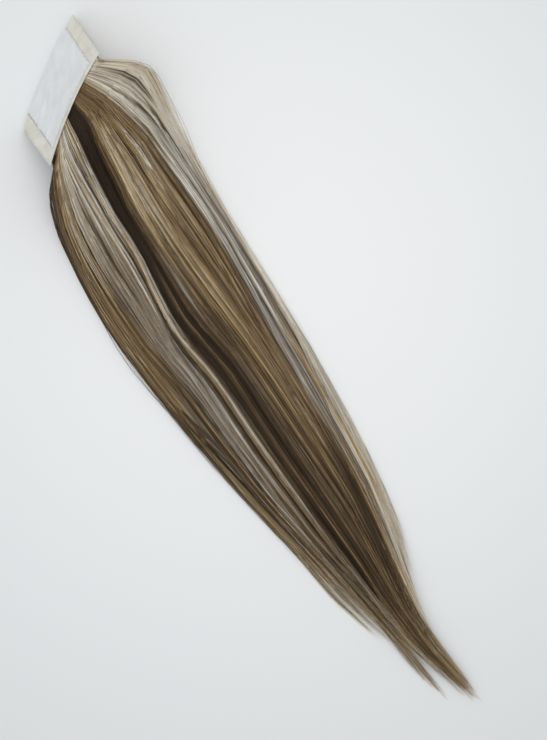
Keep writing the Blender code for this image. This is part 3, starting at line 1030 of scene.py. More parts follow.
def net_tree() -> bpy.types.NodeTree:
    """Make the tree that turns cell centres into a flat hexagonal net with some thickness."""
    tree, given = new_geometry_tree("Hexagonal net", ("Cell radius", "Hole share", "Thread thickness"))
    six_sided = {"Vertices": 6, "Radius": given["Cell radius"]}
    cell = add_node(tree, "GeometryNodeMeshCircle", six_sided, fill_type="NGON")
    inset = add_node(tree, "GeometryNodeExtrudeMesh", {"Mesh": cell, "Offset Scale": 0.0}, mode="FACES")
    middle = {"Selection": inset.outputs["Top"]}
    shrunk = {"Geometry": inset.outputs["Mesh"], **middle, "Scale": given["Hole share"]}
    hole = add_node(tree, "GeometryNodeScaleElements", shrunk)
    cut = {"Geometry": hole, **middle}
    ring = add_node(tree, "GeometryNodeDeleteGeometry", cut, domain="FACE", mode="ONLY_FACE")
    points = add_node(tree, "GeometryNodeMeshToPoints", {"Mesh": given["Geometry"]})
    cells = add_node(tree, "GeometryNodeInstanceOnPoints", {"Points": points, "Instance": ring})
    real = add_node(tree, "GeometryNodeRealizeInstances", {"Geometry": cells})
    near = add_node(tree, "MULTIPLY", (given["Cell radius"], 0.02))
    merged = add_node(tree, "GeometryNodeMergeByDistance", {"Geometry": real, "Distance": near})
    upwards = add_node(tree, "ShaderNodeCombineXYZ", {"Z": 1.0})
    rise = {"Mesh": merged, "Offset": upwards, "Offset Scale": given["Thread thickness"], "Individual": False}
    raised = add_node(tree, "GeometryNodeExtrudeMesh", rise, mode="FACES")
    under = add_node(tree, "GeometryNodeFlipFaces", {"Mesh": merged})
    both = add_node(tree, "GeometryNodeJoinGeometry", {"Geometry": under})
    tree.links.new(raised.outputs["Mesh"], both.inputs[0])
    closed = add_node(tree, "GeometryNodeMergeByDistance", {"Geometry": both, "Distance": near})
    end_geometry_tree(tree, closed, given["Finish"])
    return tree


def stitch_tree() -> bpy.types.NodeTree:
    """Make the tree that turns a seam's points into a zigzag of thread."""
    tree, given = new_geometry_tree("Zigzag seam", ("Stitch width", "Thread radius"))
    turn = add_node(tree, "MODULO", (add_node(tree, "GeometryNodeInputIndex"), 2.0))
    side = add_node(tree, "SUBTRACT", (turn, 0.5))
    reach = add_node(tree, "MULTIPLY", (side, given["Stitch width"]))
    out = add_node(tree, "GeometryNodeInputNamedAttribute", {"Name": "out"}, data_type="FLOAT_VECTOR")
    shift = add_node(tree, "ShaderNodeVectorMath", {"Vector": out, "Scale": reach}, operation="SCALE")
    moved = add_node(tree, "GeometryNodeSetPosition", {"Geometry": given["Geometry"], "Offset": shift})
    line = add_node(tree, "GeometryNodeMeshToCurve", {"Mesh": moved})
    round_five = {"Resolution": 5, "Radius": given["Thread radius"]}
    section = add_node(tree, "GeometryNodeCurvePrimitiveCircle", round_five, mode="RADIUS")
    sweep = {"Curve": line, "Profile Curve": section, "Fill Caps": True}
    tube = add_node(tree, "GeometryNodeCurveToMesh", sweep)
    end_geometry_tree(tree, add_node(tree, "GeometryNodeSetShadeSmooth", {"Geometry": tube}), given["Finish"])
    return tree


@dataclass
class LaceBase:
    """The patch's lace: an open net where it shows, over a ground as close as the finest net."""

    shape: PatchShape
    finish: LaceFinish = LaceFinish()
    cell_pitch: float = 0.0016  # the real net's is about 0.8 mm, too fine to show
    hole_share: float = 0.68
    thread_thickness: float = 0.00035
    under_silk: float = 0.0015  # how far the net runs in under the silk
    ground_inset: float = 0.0012  # of the ground from the patch's edges
    ground_low: float = 0.3  # its under side, as a share of the lace's thickness
    ground_steps: int = 36

    def cell_centres(self) -> np.ndarray:
        """Find the cells' centres on the flat cut, all round its bare border.

        Returns:
            Points in metres, at a height of 0.
        """
        shape = self.shape
        half = 0.5 * shape.length
        rise = self.cell_pitch * math.sqrt(3.0) / 2.0
        rows = np.arange(-1, int(shape.width / rise) + 3)
        columns = np.arange(-int(half / self.cell_pitch) - 2, int(half / self.cell_pitch) + 3)
        column, row = np.meshgrid(columns, rows)
        x = (column + 0.5 * (row % 2)).ravel() * self.cell_pitch
        y = row.ravel() * rise
        reach = 0.45 * self.cell_pitch
        inside = (np.abs(x) < half + reach) & (y > -reach) & (y < shape.width + reach)
        covered = (
            (np.abs(x) < half - shape.border - self.under_silk)
            & (y > shape.border + self.under_silk)
            & (y < shape.width - shape.raised_border - self.under_silk)
        )
        keep = inside & ~covered
        return np.stack((x[keep], y[keep], np.zeros(keep.sum())), axis=-1)

    def net_mesh(self, material: bpy.types.Material) -> bpy.types.Mesh:
        """Make the net flat, trim it to the cut and curve it onto the patch.

        Args:
            material: The lace's material.

        Returns:
            The net.
        """
        centres = bpy.data.meshes.new("net_centres")
        centres.from_pydata(self.cell_centres().tolist(), [], [])
        values = {
            "Cell radius": self.cell_pitch / math.sqrt(3.0),
            "Hole share": self.hole_share,
            "Thread thickness": self.thread_thickness,
            "Finish": material,
        }
        mesh = run_tree(net_tree(), centres, values)
        flat = get_points(mesh)
        shape = self.shape
        along = np.clip(flat[:, 0] / shape.length, -0.5, 0.5)
        run = np.clip(flat[:, 1], 0.0, shape.width)
        depth = 0.5 * shape.lace_thickness + flat[:, 2]
        mesh.vertices.foreach_set("co", shape.offset(along, run, depth).astype(np.float32).ravel())
        mesh.update()
        return mesh

    def ground_mesh(self, material: bpy.types.Material) -> bpy.types.Mesh:
        """Make the ground under the net and the silk.

        Args:
            material: The lace's material.

        Returns:
            The ground.
        """
        shape = self.shape
        edge = 0.5 - self.ground_inset / shape.length
        along = np.linspace(-edge, edge, self.ground_steps)
        run = np.linspace(self.ground_inset, shape.width - self.ground_inset, self.ground_steps)
        across, down = np.meshgrid(along, run)
        top = shape.offset(across, down, 0.5 * shape.lace_thickness + 0.25 * self.thread_thickness)
        low = shape.offset(across, down, self.ground_low * shape.lace_thickness)
        return slab_mesh("lace_ground", top, low, material, flipped=True)

    def build(self, rests_on: Sequence[bpy.types.Object]) -> bpy.types.Object:
        """Build and dress the lace.

        Args:
            rests_on: The pieces that it lies on. Not used.

        Returns:
            The piece.
        """
        material = self.finish.build()
        mesh = join_meshes("lace", (self.net_mesh(material), self.ground_mesh(material)))
        piece = new_object("lace", mesh)
        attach(piece, ROOT_BODY)
        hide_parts("lace_base")
        return piece


@dataclass
class SilkPanel:
    """The silk sewn over the lace's middle, with a turned edge and a few soft creases."""

    shape: PatchShape
    finish: SilkFinish = SilkFinish()
    columns: int = 110
    rows: int = 100
    thickness: float = 0.0006
    inset: float = 0.0004  # of its outer side from the solid's
    lowest: float = 0.00065  # its under side stays clear of the lace's ground
    edge_roll: float = 0.0016  # width of the turned edge
    edge_rise: float = 0.00022  # height of the turned edge
    edge_drop: float = 0.0010  # how far the edge is sewn down
    pucker: float = 0.00016
    pucker_pitch: float = 0.0052
    pucker_reach: float = 0.005  # in from the edge
    # Creases. Each row: middle along and round in metres on the flat cut, length, turn, width and height.
    creases: tuple = (
        (0.026, 0.052, 0.034, 0.6, 0.0026, 0.0008),
        (0.020, 0.062, 0.030, 0.9, 0.0022, 0.0007),
        (0.030, 0.072, 0.020, 0.3, 0.0018, 0.0006),
        (0.008, 0.050, 0.036, 1.2, 0.0030, 0.0006),
        (-0.010, 0.046, 0.040, 1.4, 0.0034, 0.0005),
        (-0.028, 0.060, 0.026, 1.1, 0.0026, 0.0005),
        (0.006, 0.076, 0.022, 0.5, 0.0020, 0.0005),
    )

    @property
    def cut(self) -> tuple[float, float]:
        """The panel's flat width and length."""
        shape = self.shape
        return shape.length - 2.0 * shape.border, shape.width - shape.border - shape.raised_border

    def relief(self, x: np.ndarray, y: np.ndarray) -> np.ndarray:
        """Find the cloth's relief on its flat cut.

        Args:
            x: Metres along the roll from the middle.
            y: Metres round the roll from the tucked edge.

        Returns:
            Heights above the lace side's plain lie.
        """
        shape = self.shape
        height = np.zeros_like(x)
        for middle_x, middle_y, length, turn, width, rise in self.creases:
            along = (x - middle_x) * math.cos(turn) + (y - middle_y) * math.sin(turn)
            off = -(x - middle_x) * math.sin(turn) + (y - middle_y) * math.cos(turn)
            off = off + 0.12 * length * np.sin(along / length * 2.5)
            height += rise * np.exp(-((off / width) ** 2)) * np.exp(-((along / (0.5 * length)) ** 4))
        side = 0.5 * shape.length - shape.border - np.abs(x)
        ends = np.minimum(y - shape.border, shape.width - shape.raised_border - y)
        edge = np.minimum(side, ends)
        where = np.where(side < ends, y, x)
        wave = np.cos(where / self.pucker_pitch * 2.0 * math.pi)
        height += self.pucker * wave * np.exp(-((edge / self.pucker_reach) ** 2))
        roll = self.edge_roll
        height += self.edge_rise * (1.0 - smooth(np.abs(edge - 0.5 * roll), 0.3 * roll, 0.7 * roll))
        flat_lip = smooth(y, shape.lip - 0.002, shape.lip + 0.004)
        return height * flat_lip - self.edge_drop * (1.0 - smooth(edge, 0.0, 1.3 * roll))

    def build(self, rests_on: Sequence[bpy.types.Object]) -> bpy.types.Object:
        """Build and dress the silk.

        Args:
            rests_on: The pieces that it lies on. Not used.

        Returns:
            The piece.
        """
        shape = self.shape
        width, length = self.cut
        x = np.linspace(-0.5 * width, 0.5 * width, self.columns)
        y = np.linspace(shape.border, shape.border + length, self.rows)
        across, down = np.meshgrid(x, y)
        relief = self.relief(across, down)
        outer = shape.silk_outer - self.inset
        top = shape.offset(across / shape.length, down, outer + relief)
        under = np.maximum(outer - self.thickness + relief * 0.6, self.lowest)
        low = shape.offset(across / shape.length, down, under)
        mesh = slab_mesh("silk", top, low, self.finish.build(), flipped=True)
        flat = np.stack((across.ravel(), down.ravel()), axis=-1) / CLOTH_UNIT
        set_map(mesh, CLOTH_MAP, np.concatenate((flat, flat)))
        piece = new_object("silk", mesh)
        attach(piece, ROOT_BODY)
        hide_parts("silk_panel")
        return piece


@dataclass
class SeamStitches:
    """The zigzag of thread that holds the silk's edge down on the lace."""

    shape: PatchShape
    finish: ThreadFinish = ThreadFinish()
    pitch: float = 0.0011
    width: float = 0.0022
    thread_radius: float = 0.00016
    inset: float = 0.0008  # of the seam's line inside the silk's edge
    depth: float = 0.0008  # of the seam's line below the silk's outer side
    slope: float = 0.36  # the outer holes are lower, on the lace

    def seam(self) -> tuple[np.ndarray, np.ndarray]:
        """Find the seam's points and the ways out of the panel there.

        Returns:
            Points in the model's frame, and vectors.
        """
        shape = self.shape
        half = 0.5 * shape.length - shape.border - self.inset
        low, high = shape.border + self.inset, shape.width - shape.raised_border - self.inset
        corners = np.array(((-half, low), (half, low), (half, high), (-half, high), (-half, low)))
        outs = np.array(((0.0, -1.0), (1.0, 0.0), (0.0, 1.0), (-1.0, 0.0)))
        flat, ways = [], []
        for start, stop, out in zip(corners, corners[1:], outs):
            steps = int(np.linalg.norm(stop - start) / self.pitch)
            shares = np.arange(steps)[:, None] / steps
            flat.append(start + (stop - start) * shares)
            ways.append(np.repeat(out[None], steps, axis=0))
        place, way = np.concatenate(flat), np.concatenate(ways)
        height = shape.silk_outer - self.depth
        at = shape.offset(place[:, 0] / shape.length, place[:, 1], height)
        nudge = 1e-4
        beside = place + way * nudge
        out_at = shape.offset(beside[:, 0] / shape.length, beside[:, 1], height)
        normal = shape.normal(place[:, 0] / shape.length, place[:, 1])
        return at, (out_at - at) / nudge - self.slope * normal

    def build(self) -> bpy.types.Object:
        """Build and dress the stitches."""
        points, outs = self.seam()
        count = len(points)
        source = bpy.data.meshes.new("seam_points")
        source.from_pydata(points.tolist(), [(i, i + 1) for i in range(count - 1)], [])
        layer = source.attributes.new("out", "FLOAT_VECTOR", "POINT")
        layer.data.foreach_set("vector", outs.astype(np.float32).ravel())
        finish = self.finish.build()
        values = {"Stitch width": self.width, "Thread radius": self.thread_radius, "Finish": finish}
        piece = new_object("seam_stitches", run_tree(stitch_tree(), source, values))
        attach(piece, ROOT_BODY)
        return piece


# The hair


# The strand tree's inputs, each named as its size in StrandSizes
STRAND_INPUTS = (
    "Strand width", "Tip share", "Taper share", "Frizz", "Frizz waves", "Tone scatter", "Tone waver",
    "Waver waves", "Ash scatter", "Tip lift",
)  # fmt: skip
# What the strand tree works out. Each row: name, Math operation, and numbers or the names of what feeds it.
STRAND_SUMS = (
    ("side wander", "SUBTRACT", "bend side", 0.5),
    ("rise wander", "SUBTRACT", "bend rise", 0.5),
    ("loose frizz", "MULTIPLY", "Frizz", "looseness"),
    ("own side", "MULTIPLY", "side draw", "spread"),
    ("wandered side", "MULTIPLY", "side wander", "loose frizz"),
    ("side", "ADD", "own side", "wandered side"),
    ("sunk share", "ABSOLUTE", "depth draw"),
    ("sunk", "MULTIPLY", "sunk share", "depth"),
    ("frizz rise", "MULTIPLY", "rise wander", "loose frizz"),
    ("lifted frizz", "MULTIPLY", "frizz rise", "lift"),
    ("rise", "SUBTRACT", "lifted frizz", "sunk"),
    ("cut share", "ABSOLUTE", "trim draw"),
    ("mostly long", "POWER", "cut share", 1.6),
    ("short", "MULTIPLY", "mostly long", "trim"),
    ("end", "SUBTRACT", 1.0, "short"),
    ("own tone", "MULTIPLY", "tone draw", "Tone scatter"),
    ("varied tone", "MULTIPLY", "own tone", "variety"),
    ("scattered tone", "ADD", "tone", "varied tone"),
    ("waver", "SUBTRACT", "tone noise", 0.5),
    ("sized waver", "MULTIPLY", "waver", "Tone waver"),
    ("varied waver", "MULTIPLY", "sized waver", "variety"),
    ("wavered tone", "ADD", "scattered tone", "varied waver"),
    ("strand tone", "ADD", "wavered tone", "tip tone"),
    ("own ash", "MULTIPLY", "ash draw", "Ash scatter"),
    ("strand ash", "ADD", "ash", "own ash"),
    ("thickness", "MULTIPLY", "taper", "Strand width"),
)


def strand_tree() -> bpy.types.NodeTree:
    """Make the tree that turns each guide into a clump of tapered strands."""
    tree, given = new_geometry_tree("Hair strands", (*STRAND_INPUTS, "Seed"))
    made = dict(given)
    for name in ("strands", "looseness", "spread", "depth", "lift", "trim", "tone", "ash", "variety"):
        made[name] = add_node(tree, "GeometryNodeInputNamedAttribute", {"Name": name}, data_type="FLOAT")
    guides = add_node(tree, "GeometryNodeMeshToCurve", {"Mesh": given["Geometry"]})
    amount = {"Geometry": guides, "Amount": made["strands"]}
    clumps = add_node(tree, "GeometryNodeDuplicateElements", amount, domain="SPLINE")
    index = add_node(tree, "GeometryNodeInputIndex")
    strand = add_node(tree, "GeometryNodeFieldOnDomain", (index,), domain="CURVE", data_type="INT")
    # Each strand's own draws, from -1 to 1
    for offset, name in enumerate(("side draw", "depth draw", "trim draw", "tone draw", "ash draw"), 1):
        seed = add_node(tree, "ADD", (given["Seed"], float(offset)))
        limits = {"Min_001": -1.0, "Max_001": 1.0, "ID": strand, "Seed": seed}
        made[name] = add_node(tree, "FunctionNodeRandomValue", limits, data_type="FLOAT").outputs["Value"]
    factor = add_node(tree, "GeometryNodeSplineParameter").outputs["Factor"]
    # Two noises along each strand, far apart from the next strand's
    noises = []
    for stride, waves in ((0.731, given["Frizz waves"]), (0.417, given["Waver waves"])):
        places = {
            "X": add_node(tree, "MULTIPLY", (strand, stride)),
            "Y": add_node(tree, "MULTIPLY", (factor, waves)),
            "Z": add_node(tree, "MULTIPLY", (given["Seed"], 3.7)),
        }
        where = add_node(tree, "ShaderNodeCombineXYZ", places)
        noises.append(add_node(tree, "ShaderNodeTexNoise", {"Vector": where, "Scale": 1.0, "Detail": 1.0}))
    bend = add_node(tree, "ShaderNodeSeparateXYZ", {"Vector": noises[0].outputs["Color"]})
    made["bend side"], made["bend rise"] = bend.outputs[0], bend.outputs[2]
    made["tone noise"] = noises[1].outputs["Fac"]
    tip = {"Value": factor, "From Min": 0.93, "From Max": 1.0, "To Min": 0.0, "To Max": given["Tip lift"]}
    made["tip tone"] = add_node(tree, "ShaderNodeMapRange", tip, interpolation_type="SMOOTHSTEP")
    start = add_node(tree, "SUBTRACT", (1.0, given["Taper share"]))
    thin = {"Value": factor, "From Min": start, "From Max": 1.0, "To Min": 1.0, "To Max": given["Tip share"]}
    made["taper"] = add_node(tree, "ShaderNodeMapRange", thin)
    for name, operation, *values in STRAND_SUMS:
        made[name] = add_node(tree, operation, [made.get(value, value) for value in values])

    offset = add_node(tree, "ShaderNodeCombineXYZ", {"X": made["side"], "Z": made["rise"]})
    moved = add_node(tree, "GeometryNodeSetPosition", {"Geometry": clumps, "Offset": offset})
    dyed = add_node(tree, "GeometryNodeTrimCurve", {"Curve": moved, "End": made["end"]})
    for name in ("tone", "ash"):
        stored = {"Geometry": dyed, "Name": name, "Value": made[f"strand {name}"]}
        dyed = add_node(tree, "GeometryNodeStoreNamedAttribute", stored, data_type="FLOAT", domain="POINT")
    three_sided = {"Resolution": 3, "Radius": 0.5}
    section = add_node(tree, "GeometryNodeCurvePrimitiveCircle", three_sided, mode="RADIUS")
    sweep = {"Curve": dyed, "Profile Curve": section, "Scale": made["thickness"], "Fill Caps": True}
    tube = add_node(tree, "GeometryNodeCurveToMesh", sweep)
    end_geometry_tree(tree, add_node(tree, "GeometryNodeSetShadeSmooth", {"Geometry": tube}), given["Finish"])
    return tree


@dataclass(frozen=True)
class StrandSizes:
    """Sizes that all the hair shares."""

    strand_width: float = 0.00030  # a real strand is about 0.07 mm, too fine and too many to draw
    tip_share: float = 0.35
    taper_share: float = 0.25
    frizz: float = 0.0016
    frizz_waves: float = 7.0
    tone_scatter: float = 0.08
    tone_waver: float = 0.22  # how much a strand's tone changes on its way
    waver_waves: float = 17.0
    ash_scatter: float = 0.10
    tip_lift: float = 0.50
    clump_tone: float = 0.13
    clump_ash: float = 0.1
    pale_shift: tuple = (0.14, 0.35)  # how much more tone and ash a pale clump has
    dark_shift: tuple = (0.19, 0.5)  # how much less a dark one has
    clump_depth: float = 0.0016
    depth_shade: float = 0.18  # painted shade: hair that lies deeper is painted darker
    clump_spread: float = 0.00026
    single_share: float = 0.3  # of clumps that are two strands lying clear on top
    single_tone: float = 0.22
    tip_fan: float = 0.017
    tip_range: tuple = (0.76, 1.02)  # the shares of a strand's length between which its tip bends away
    lock_pull: float = 1.6  # how far strands draw to their lock's middle there
    end_scatter: float = 0.12  # how far a clump may fall short of the longest beside it
    sway: float = 0.0062  # of strands from side to side, as a share across
    sway_waves: tuple = (9.0, 21.0, 38.0)
    root_points: int = 2
    fall_points: int = 21
    fall_crowding: float = 1.75  # of a guide's points towards its root
    body_short: float = 0.11  # how far the inner body ends before the strands, as a share of the length
    body_points: int = 45
    body_crowding: float = 1.15
    map_step: float = 0.006  # each face's size on the tone map, so that it has some


@dataclass
class Clumps:
    """One layer's clumps of strands, in columns of one: where each grows, its kind and where it ends."""

    number: np.ndarray
    on_wall: np.ndarray
    loose: np.ndarray
    single: np.ndarray
    ends: np.ndarray


@dataclass
class HairSection:
    """One section of the hair: an inner body under its layers of loose strands."""

    node: str
    start: float
    stop: float
    layers: int
    clumps: int
    seed: int
    fall: FallShape
    chart: DyeChart
    sizes: StrandSizes
    pale_share: float = 0.1  # of clumps dyed paler than those beside them
    dark_share: float = 0.1  # of clumps left darker
    strands: int = 7  # in each clump
    trim: float = 0.14  # the most that a strand falls short of its guide's end
    root_bulge: float = 0.0045  # how far the right side's loose hair stands out of the solids at the root
    wall: Lay = Lay.TOP
    body_shade_factor: float = 0.8  # painted shade: the inner body's tone is scaled by this; the body shows only between strands
    wall_share: float = 0.26  # of clumps that hang down the wall
    lock_bounds: tuple = ()
    loose: tuple = ()
    loose_from: float = 0.92  # the share of clumps after which the rest are single loose strands

    def relief(self, number: np.ndarray, run: np.ndarray, crown: np.ndarray) -> np.ndarray:
        """Find how far the surface dips towards the grooves between locks.

        Args:
            number: Strand numbers.
            run: Shares of the hair's length.
            crown: Heights of the fall's top there.

        Returns:
            Depths.
        """
        share = bracket(np.array(self.lock_bounds), number)[1]
        lobe = np.sin(math.pi * np.clip(share, 0.0, 1.0)) ** 0.7
        ease = np.clip(run / 0.07, 0.0, 1.0)
        return np.minimum(self.fall.groove, 0.3 * crown) * ease * (1.0 - lobe)

    def surface(self, run: np.ndarray, number: np.ndarray, across: np.ndarray) -> np.ndarray:
        """Find the height of the section's top.

        Args:
            run: Shares of the hair's length.
            number: Strand numbers.
            across: Shares across.

        Returns:
            Heights above the surface.
        """
        crown = self.fall.crown(run, across)
        return crown - self.relief(number, run, crown)

    def tone_shifts(self, rng: np.random.Generator, count: int) -> tuple[np.ndarray, np.ndarray]:
        """Draw each clump's own shift of tone and ash.

        Args:
            rng: The layer's own random draws.
            count: How many clumps.

        Returns:
            Shifts of tone and of ash, in columns of one.
        """
        sizes = self.sizes
        tone = rng.uniform(-1.0, 1.0, (count, 1)) * sizes.clump_tone
        ash = rng.uniform(-sizes.clump_ash, sizes.clump_ash, (count, 1))
        draw = rng.random((count, 1))
        pale, dark = draw < self.pale_share, draw > 1.0 - self.dark_share
        tone = tone + np.where(pale, sizes.pale_shift[0], 0.0) - np.where(dark, sizes.dark_shift[0], 0.0)
        ash = ash + np.where(pale, sizes.pale_shift[1], 0.0) - np.where(dark, sizes.dark_shift[1], 0.0)
        return tone, ash

    def loose_offsets(self, rng: np.random.Generator, run: np.ndarray) -> np.ndarray:
        """Draw how far out of the fall single loose strands wander, in metres.

        Args:
            rng: The layer's own random draws.
            run: Shares of the hair's length along each loose strand.

        Returns:
            Distances outwards.
        """
        rows = np.array(self.loose)
        row = rows[rng.integers(0, len(rows), len(run))]
        middle = row[:, 0:1] + rng.normal(0.0, 0.5, (len(run), 1)) * row[:, 1:2]
        out = row[:, 2:3] * rng.uniform(0.3, 1.0, (len(run), 1))
        return out * np.exp(-(((run - middle) / row[:, 1:2]) ** 2))

    @property
    def on_right(self) -> bool:
        """Whether the section's outer hair hangs down the fall's right wall."""
        return self.wall is Lay.RIGHT_WALL

    def draw_clumps(self, rng: np.random.Generator) -> Clumps:
        """Draw one layer's clumps.

        Args:
            rng: The layer's own random draws.

        Returns:
            The clumps.
        """
        sizes, count = self.sizes, self.clumps
        place = np.arange(count) + rng.uniform(0.0, 1.0, count)
        number = rng.permutation(self.start + (self.stop - self.start) * place / count)
        kinds = np.arange(count) / count
        on_wall = kinds < (0.0 if self.wall is Lay.TOP else self.wall_share)
        loose = kinds > (self.loose_from if self.loose else 1.0)
        single = (rng.random(count) < sizes.single_share) & ~loose & ~on_wall
        if self.loose:
            outermost = (0.97, 0.996) if self.on_right else (0.004, 0.03)
            number = np.where(loose, rng.uniform(*outermost, count), number)
        ends = self.fall.end_run(number) * (1.0 - sizes.end_scatter * rng.random(count) ** 1.3)
        return Clumps(*(values[:, None] for values in (number, on_wall, loose, single, ends)))

    def lay_across(
        self, rng: np.random.Generator, clumps: Clumps, run: np.ndarray
    ) -> tuple[np.ndarray, np.ndarray]:
        """Find where a layer's guides lie across the fall.

        Args:
            rng: The layer's own random draws.
            clumps: The clumps.
            run: Shares of the hair's length along each guide.

        Returns:
            Shares across, and the strand numbers whose dye and grooves the guides take.
        """
        fall, sizes, count = self.fall, self.sizes, len(run)
        phase = rng.uniform(0.0, 2.0 * math.pi, (count, len(sizes.sway_waves)))
        sway = np.zeros_like(run)
        for k, waves in enumerate(sizes.sway_waves):
            sway += np.sin(run * waves + phase[:, k : k + 1]) * sizes.sway / (k + 1)
        beside, lock_side, _ = fall.lock_draws(clumps.number)
        near_tip = smooth(run / clumps.ends, *sizes.tip_range)
        fan = rng.normal(0.0, sizes.tip_fan, (count, 1)) + fall.lock_fan * lock_side
        fan = fan - sizes.lock_pull * beside
        # The right edge's tips bend inwards
        fan = np.where(clumps.number > 0.93, -0.6 * np.abs(fan), fan)
        label = np.repeat(clumps.number, run.shape[1], axis=1)
        across = fall.flow(run, label) + sway * smooth(run, 0.0, 0.15) + fan * near_tip
        # Only tips may leave the fall's sides
        across = np.where(run < 0.75, np.clip(across, 0.001, 0.999), across)
        if self.wall is Lay.TOP:
            return across, label
        # Down the wall near the root, and on top farther down
        level = rng.uniform(0.08, 0.9, (count, 1)) * np.clip(fall.values(run)[..., 4], 0.0, 1.0)
        rim = 0.5 * (1.0 - (1.0 - level**2) ** (1.0 / fall.boxiness(run)))
        rim = 1.0 - rim if self.on_right else rim
        across = np.where(clumps.on_wall, rim + (across - rim) * smooth(run, 0.30, 0.60), across)
        edge, deepest = (1.0, 0.045) if self.on_right else (0.0, 0.09)
        outer = np.abs(edge - deepest * rng.random((count, 1)) ** 1.5)
        return across, np.where(clumps.on_wall, outer, label)

    def lay_fall(
        self, rng: np.random.Generator, clumps: Clumps, run: np.ndarray
    ) -> tuple[np.ndarray, np.ndarray, np.ndarray]:
        """Lay a layer's guides on the fall.

        Args:
            rng: The layer's own random draws.
            clumps: The clumps.
            run: Shares of the hair's length along each guide.

        Returns:
            Points, the strand numbers whose dye the guides take, and each guide's depth in the hair.
        """
        across, label = self.lay_across(rng, clumps, run)
        sunk = self.sizes.clump_depth * rng.random((len(run), 1))
        sunk = np.where(clumps.loose | clumps.single, 0.0, sunk)
        top = self.surface(run, label, across)
        height = np.maximum(top - np.minimum(sunk, 0.35 * top), 0.0005)
        plan = self.fall.plan(run, across)
        plan[..., 0] += self.root_bulge * np.exp(-(((run - 0.04) / 0.035) ** 2)) * smooth(across, 0.75, 1.0)
        if self.loose:
            out = np.where(clumps.loose, self.loose_offsets(rng, run), 0.0)
            plan[..., 0] += out if self.on_right else -out
            height = height + 0.2 * out
        return np.concatenate((plan, height[..., None]), axis=-1), label, sunk

    def lay_roots(self, rng: np.random.Generator, clumps: Clumps, sunk: np.ndarray) -> np.ndarray:
        """Lay the roots of a layer's guides under the flap.

        Args:
            rng: The layer's own random draws.
            clumps: The clumps.
            sunk: Each guide's depth in the hair.

        Returns:
            Points.
        """
        fall, count = self.fall, len(sunk)
        across = fall.flow(np.zeros_like(clumps.number), clumps.number)
        if self.wall is not Lay.TOP:
            across = np.where(clumps.on_wall, 0.985 if self.on_right else 0.015, across)
        reach = fall.patch.flap_reach
        first = reach * rng.uniform(0.45, 0.8, (count, 1))
        forwards = first + (reach - 0.0004 - first) * np.linspace(0.0, 1.0, self.sizes.root_points)
        roots = fall.under_flap(forwards, across, 0.0005 + sunk)
        if self.wall is not Lay.TOP:
            roots[..., 2] *= np.where(clumps.on_wall, rng.uniform(0.08, 0.95, (count, 1)), 1.0)
        return roots

    def guide_arrays(self, rng: np.random.Generator) -> dict[str, np.ndarray | float]:
        """Lay out one layer's guides.

        Args:
            rng: The layer's own random draws.

        Returns:
            Points, one row for each guide, and the numbers that the strand tree reads at each point.
        """
        sizes, count = self.sizes, self.clumps
        clumps = self.draw_clumps(rng)
        run = clumps.ends * np.linspace(0.0, 1.0, sizes.fall_points + 1)[1:] ** sizes.fall_crowding
        points, label, sunk = self.lay_fall(rng, clumps, run)
        points = np.concatenate((self.lay_roots(rng, clumps, sunk), points), axis=1)
        at_root = ((0, 0), (sizes.root_points, 0))
        run = np.pad(run, at_root)
        tone, ash = self.chart.dye(run, np.clip(np.pad(label, at_root, mode="edge"), 0.0, 1.0))
        tone_shift, ash_shift = self.tone_shifts(rng, count)
        bold = rng.choice((-0.7, 1.0), (count, 1)) * rng.uniform(0.4, 1.0, (count, 1)) * sizes.single_tone
        tone_shift = np.where(clumps.single, bold, tone_shift) * (1.0 + 0.45 * smooth(run, 0.35, 0.7))
        # Very dark hair hardly varies
        strength = 0.3 + 0.7 * smooth(tone, 0.05, 0.35)
        # Painted shade: clumps that lie deeper get a darker tone
        tone = tone + tone_shift * strength - sizes.depth_shade * sunk / sizes.clump_depth * strength
        loosening = smooth(run, 0.0, 0.2)
        tip = smooth(run / clumps.ends, 0.78, 1.0)
        spread = sizes.clump_spread * (1.0 + 0.6 * loosening - 0.5 * tip)
        return {
            "points": points,
            "tone": tone,
            "ash": ash + ash_shift * strength,
            "variety": strength,
            "spread": spread * np.where(clumps.single, 0.6, 1.0),
            "depth": np.minimum(0.0006, 0.3 * points[..., 2]),
            "lift": 0.25,
            "looseness": 0.15 + 0.85 * loosening + 1.6 * tip,
            "trim": self.trim,
            "strands": np.where(clumps.loose, 1.0, np.where(clumps.single, 2.0, self.strands)),
        }

    def strand_mesh(
        self, tree: bpy.types.NodeTree, material: bpy.types.Material, layer: int
    ) -> bpy.types.Mesh:
        """Grow one layer's strands from its guides.

        Args:
            tree: The strand tree.
            material: The hair's material.
            layer: The layer's number.

        Returns:
            The strands.
        """
        sizes = self.sizes
        seed = 10 * self.seed + layer
        arrays = self.guide_arrays(np.random.default_rng(seed))
        points = arrays.pop("points")
        count, steps = points.shape[:2]
        numbers = np.arange(count * steps).reshape(count, steps)
        edges = np.stack((numbers[:, :-1].ravel(), numbers[:, 1:].ravel()), axis=-1)
        source = bpy.data.meshes.new(f"{self.node}_guides")
        source.from_pydata(points.reshape(-1, 3).tolist(), edges.tolist(), [])
        for name, values in arrays.items():
            set_float(source, name, np.broadcast_to(values, (count, steps)))
        inputs = {label: getattr(sizes, label.lower().replace(" ", "_")) for label in STRAND_INPUTS}
        mesh = run_tree(tree, source, {**inputs, "Seed": seed, "Finish": material})
        grown = get_points(mesh)
        grown[:, 2] = np.maximum(grown[:, 2], 0.0001)
        mesh.vertices.foreach_set("co", grown.astype(np.float32).ravel())
        vertices = np.arange(len(mesh.vertices))
        # Three vertices round each strand, in rings down it
        corner, ring = vertices % 3, (vertices // 3) % 2
        self.set_tone_map(mesh, get_float(mesh, "tone"), get_float(mesh, "ash"), corner, ring)
        return mesh

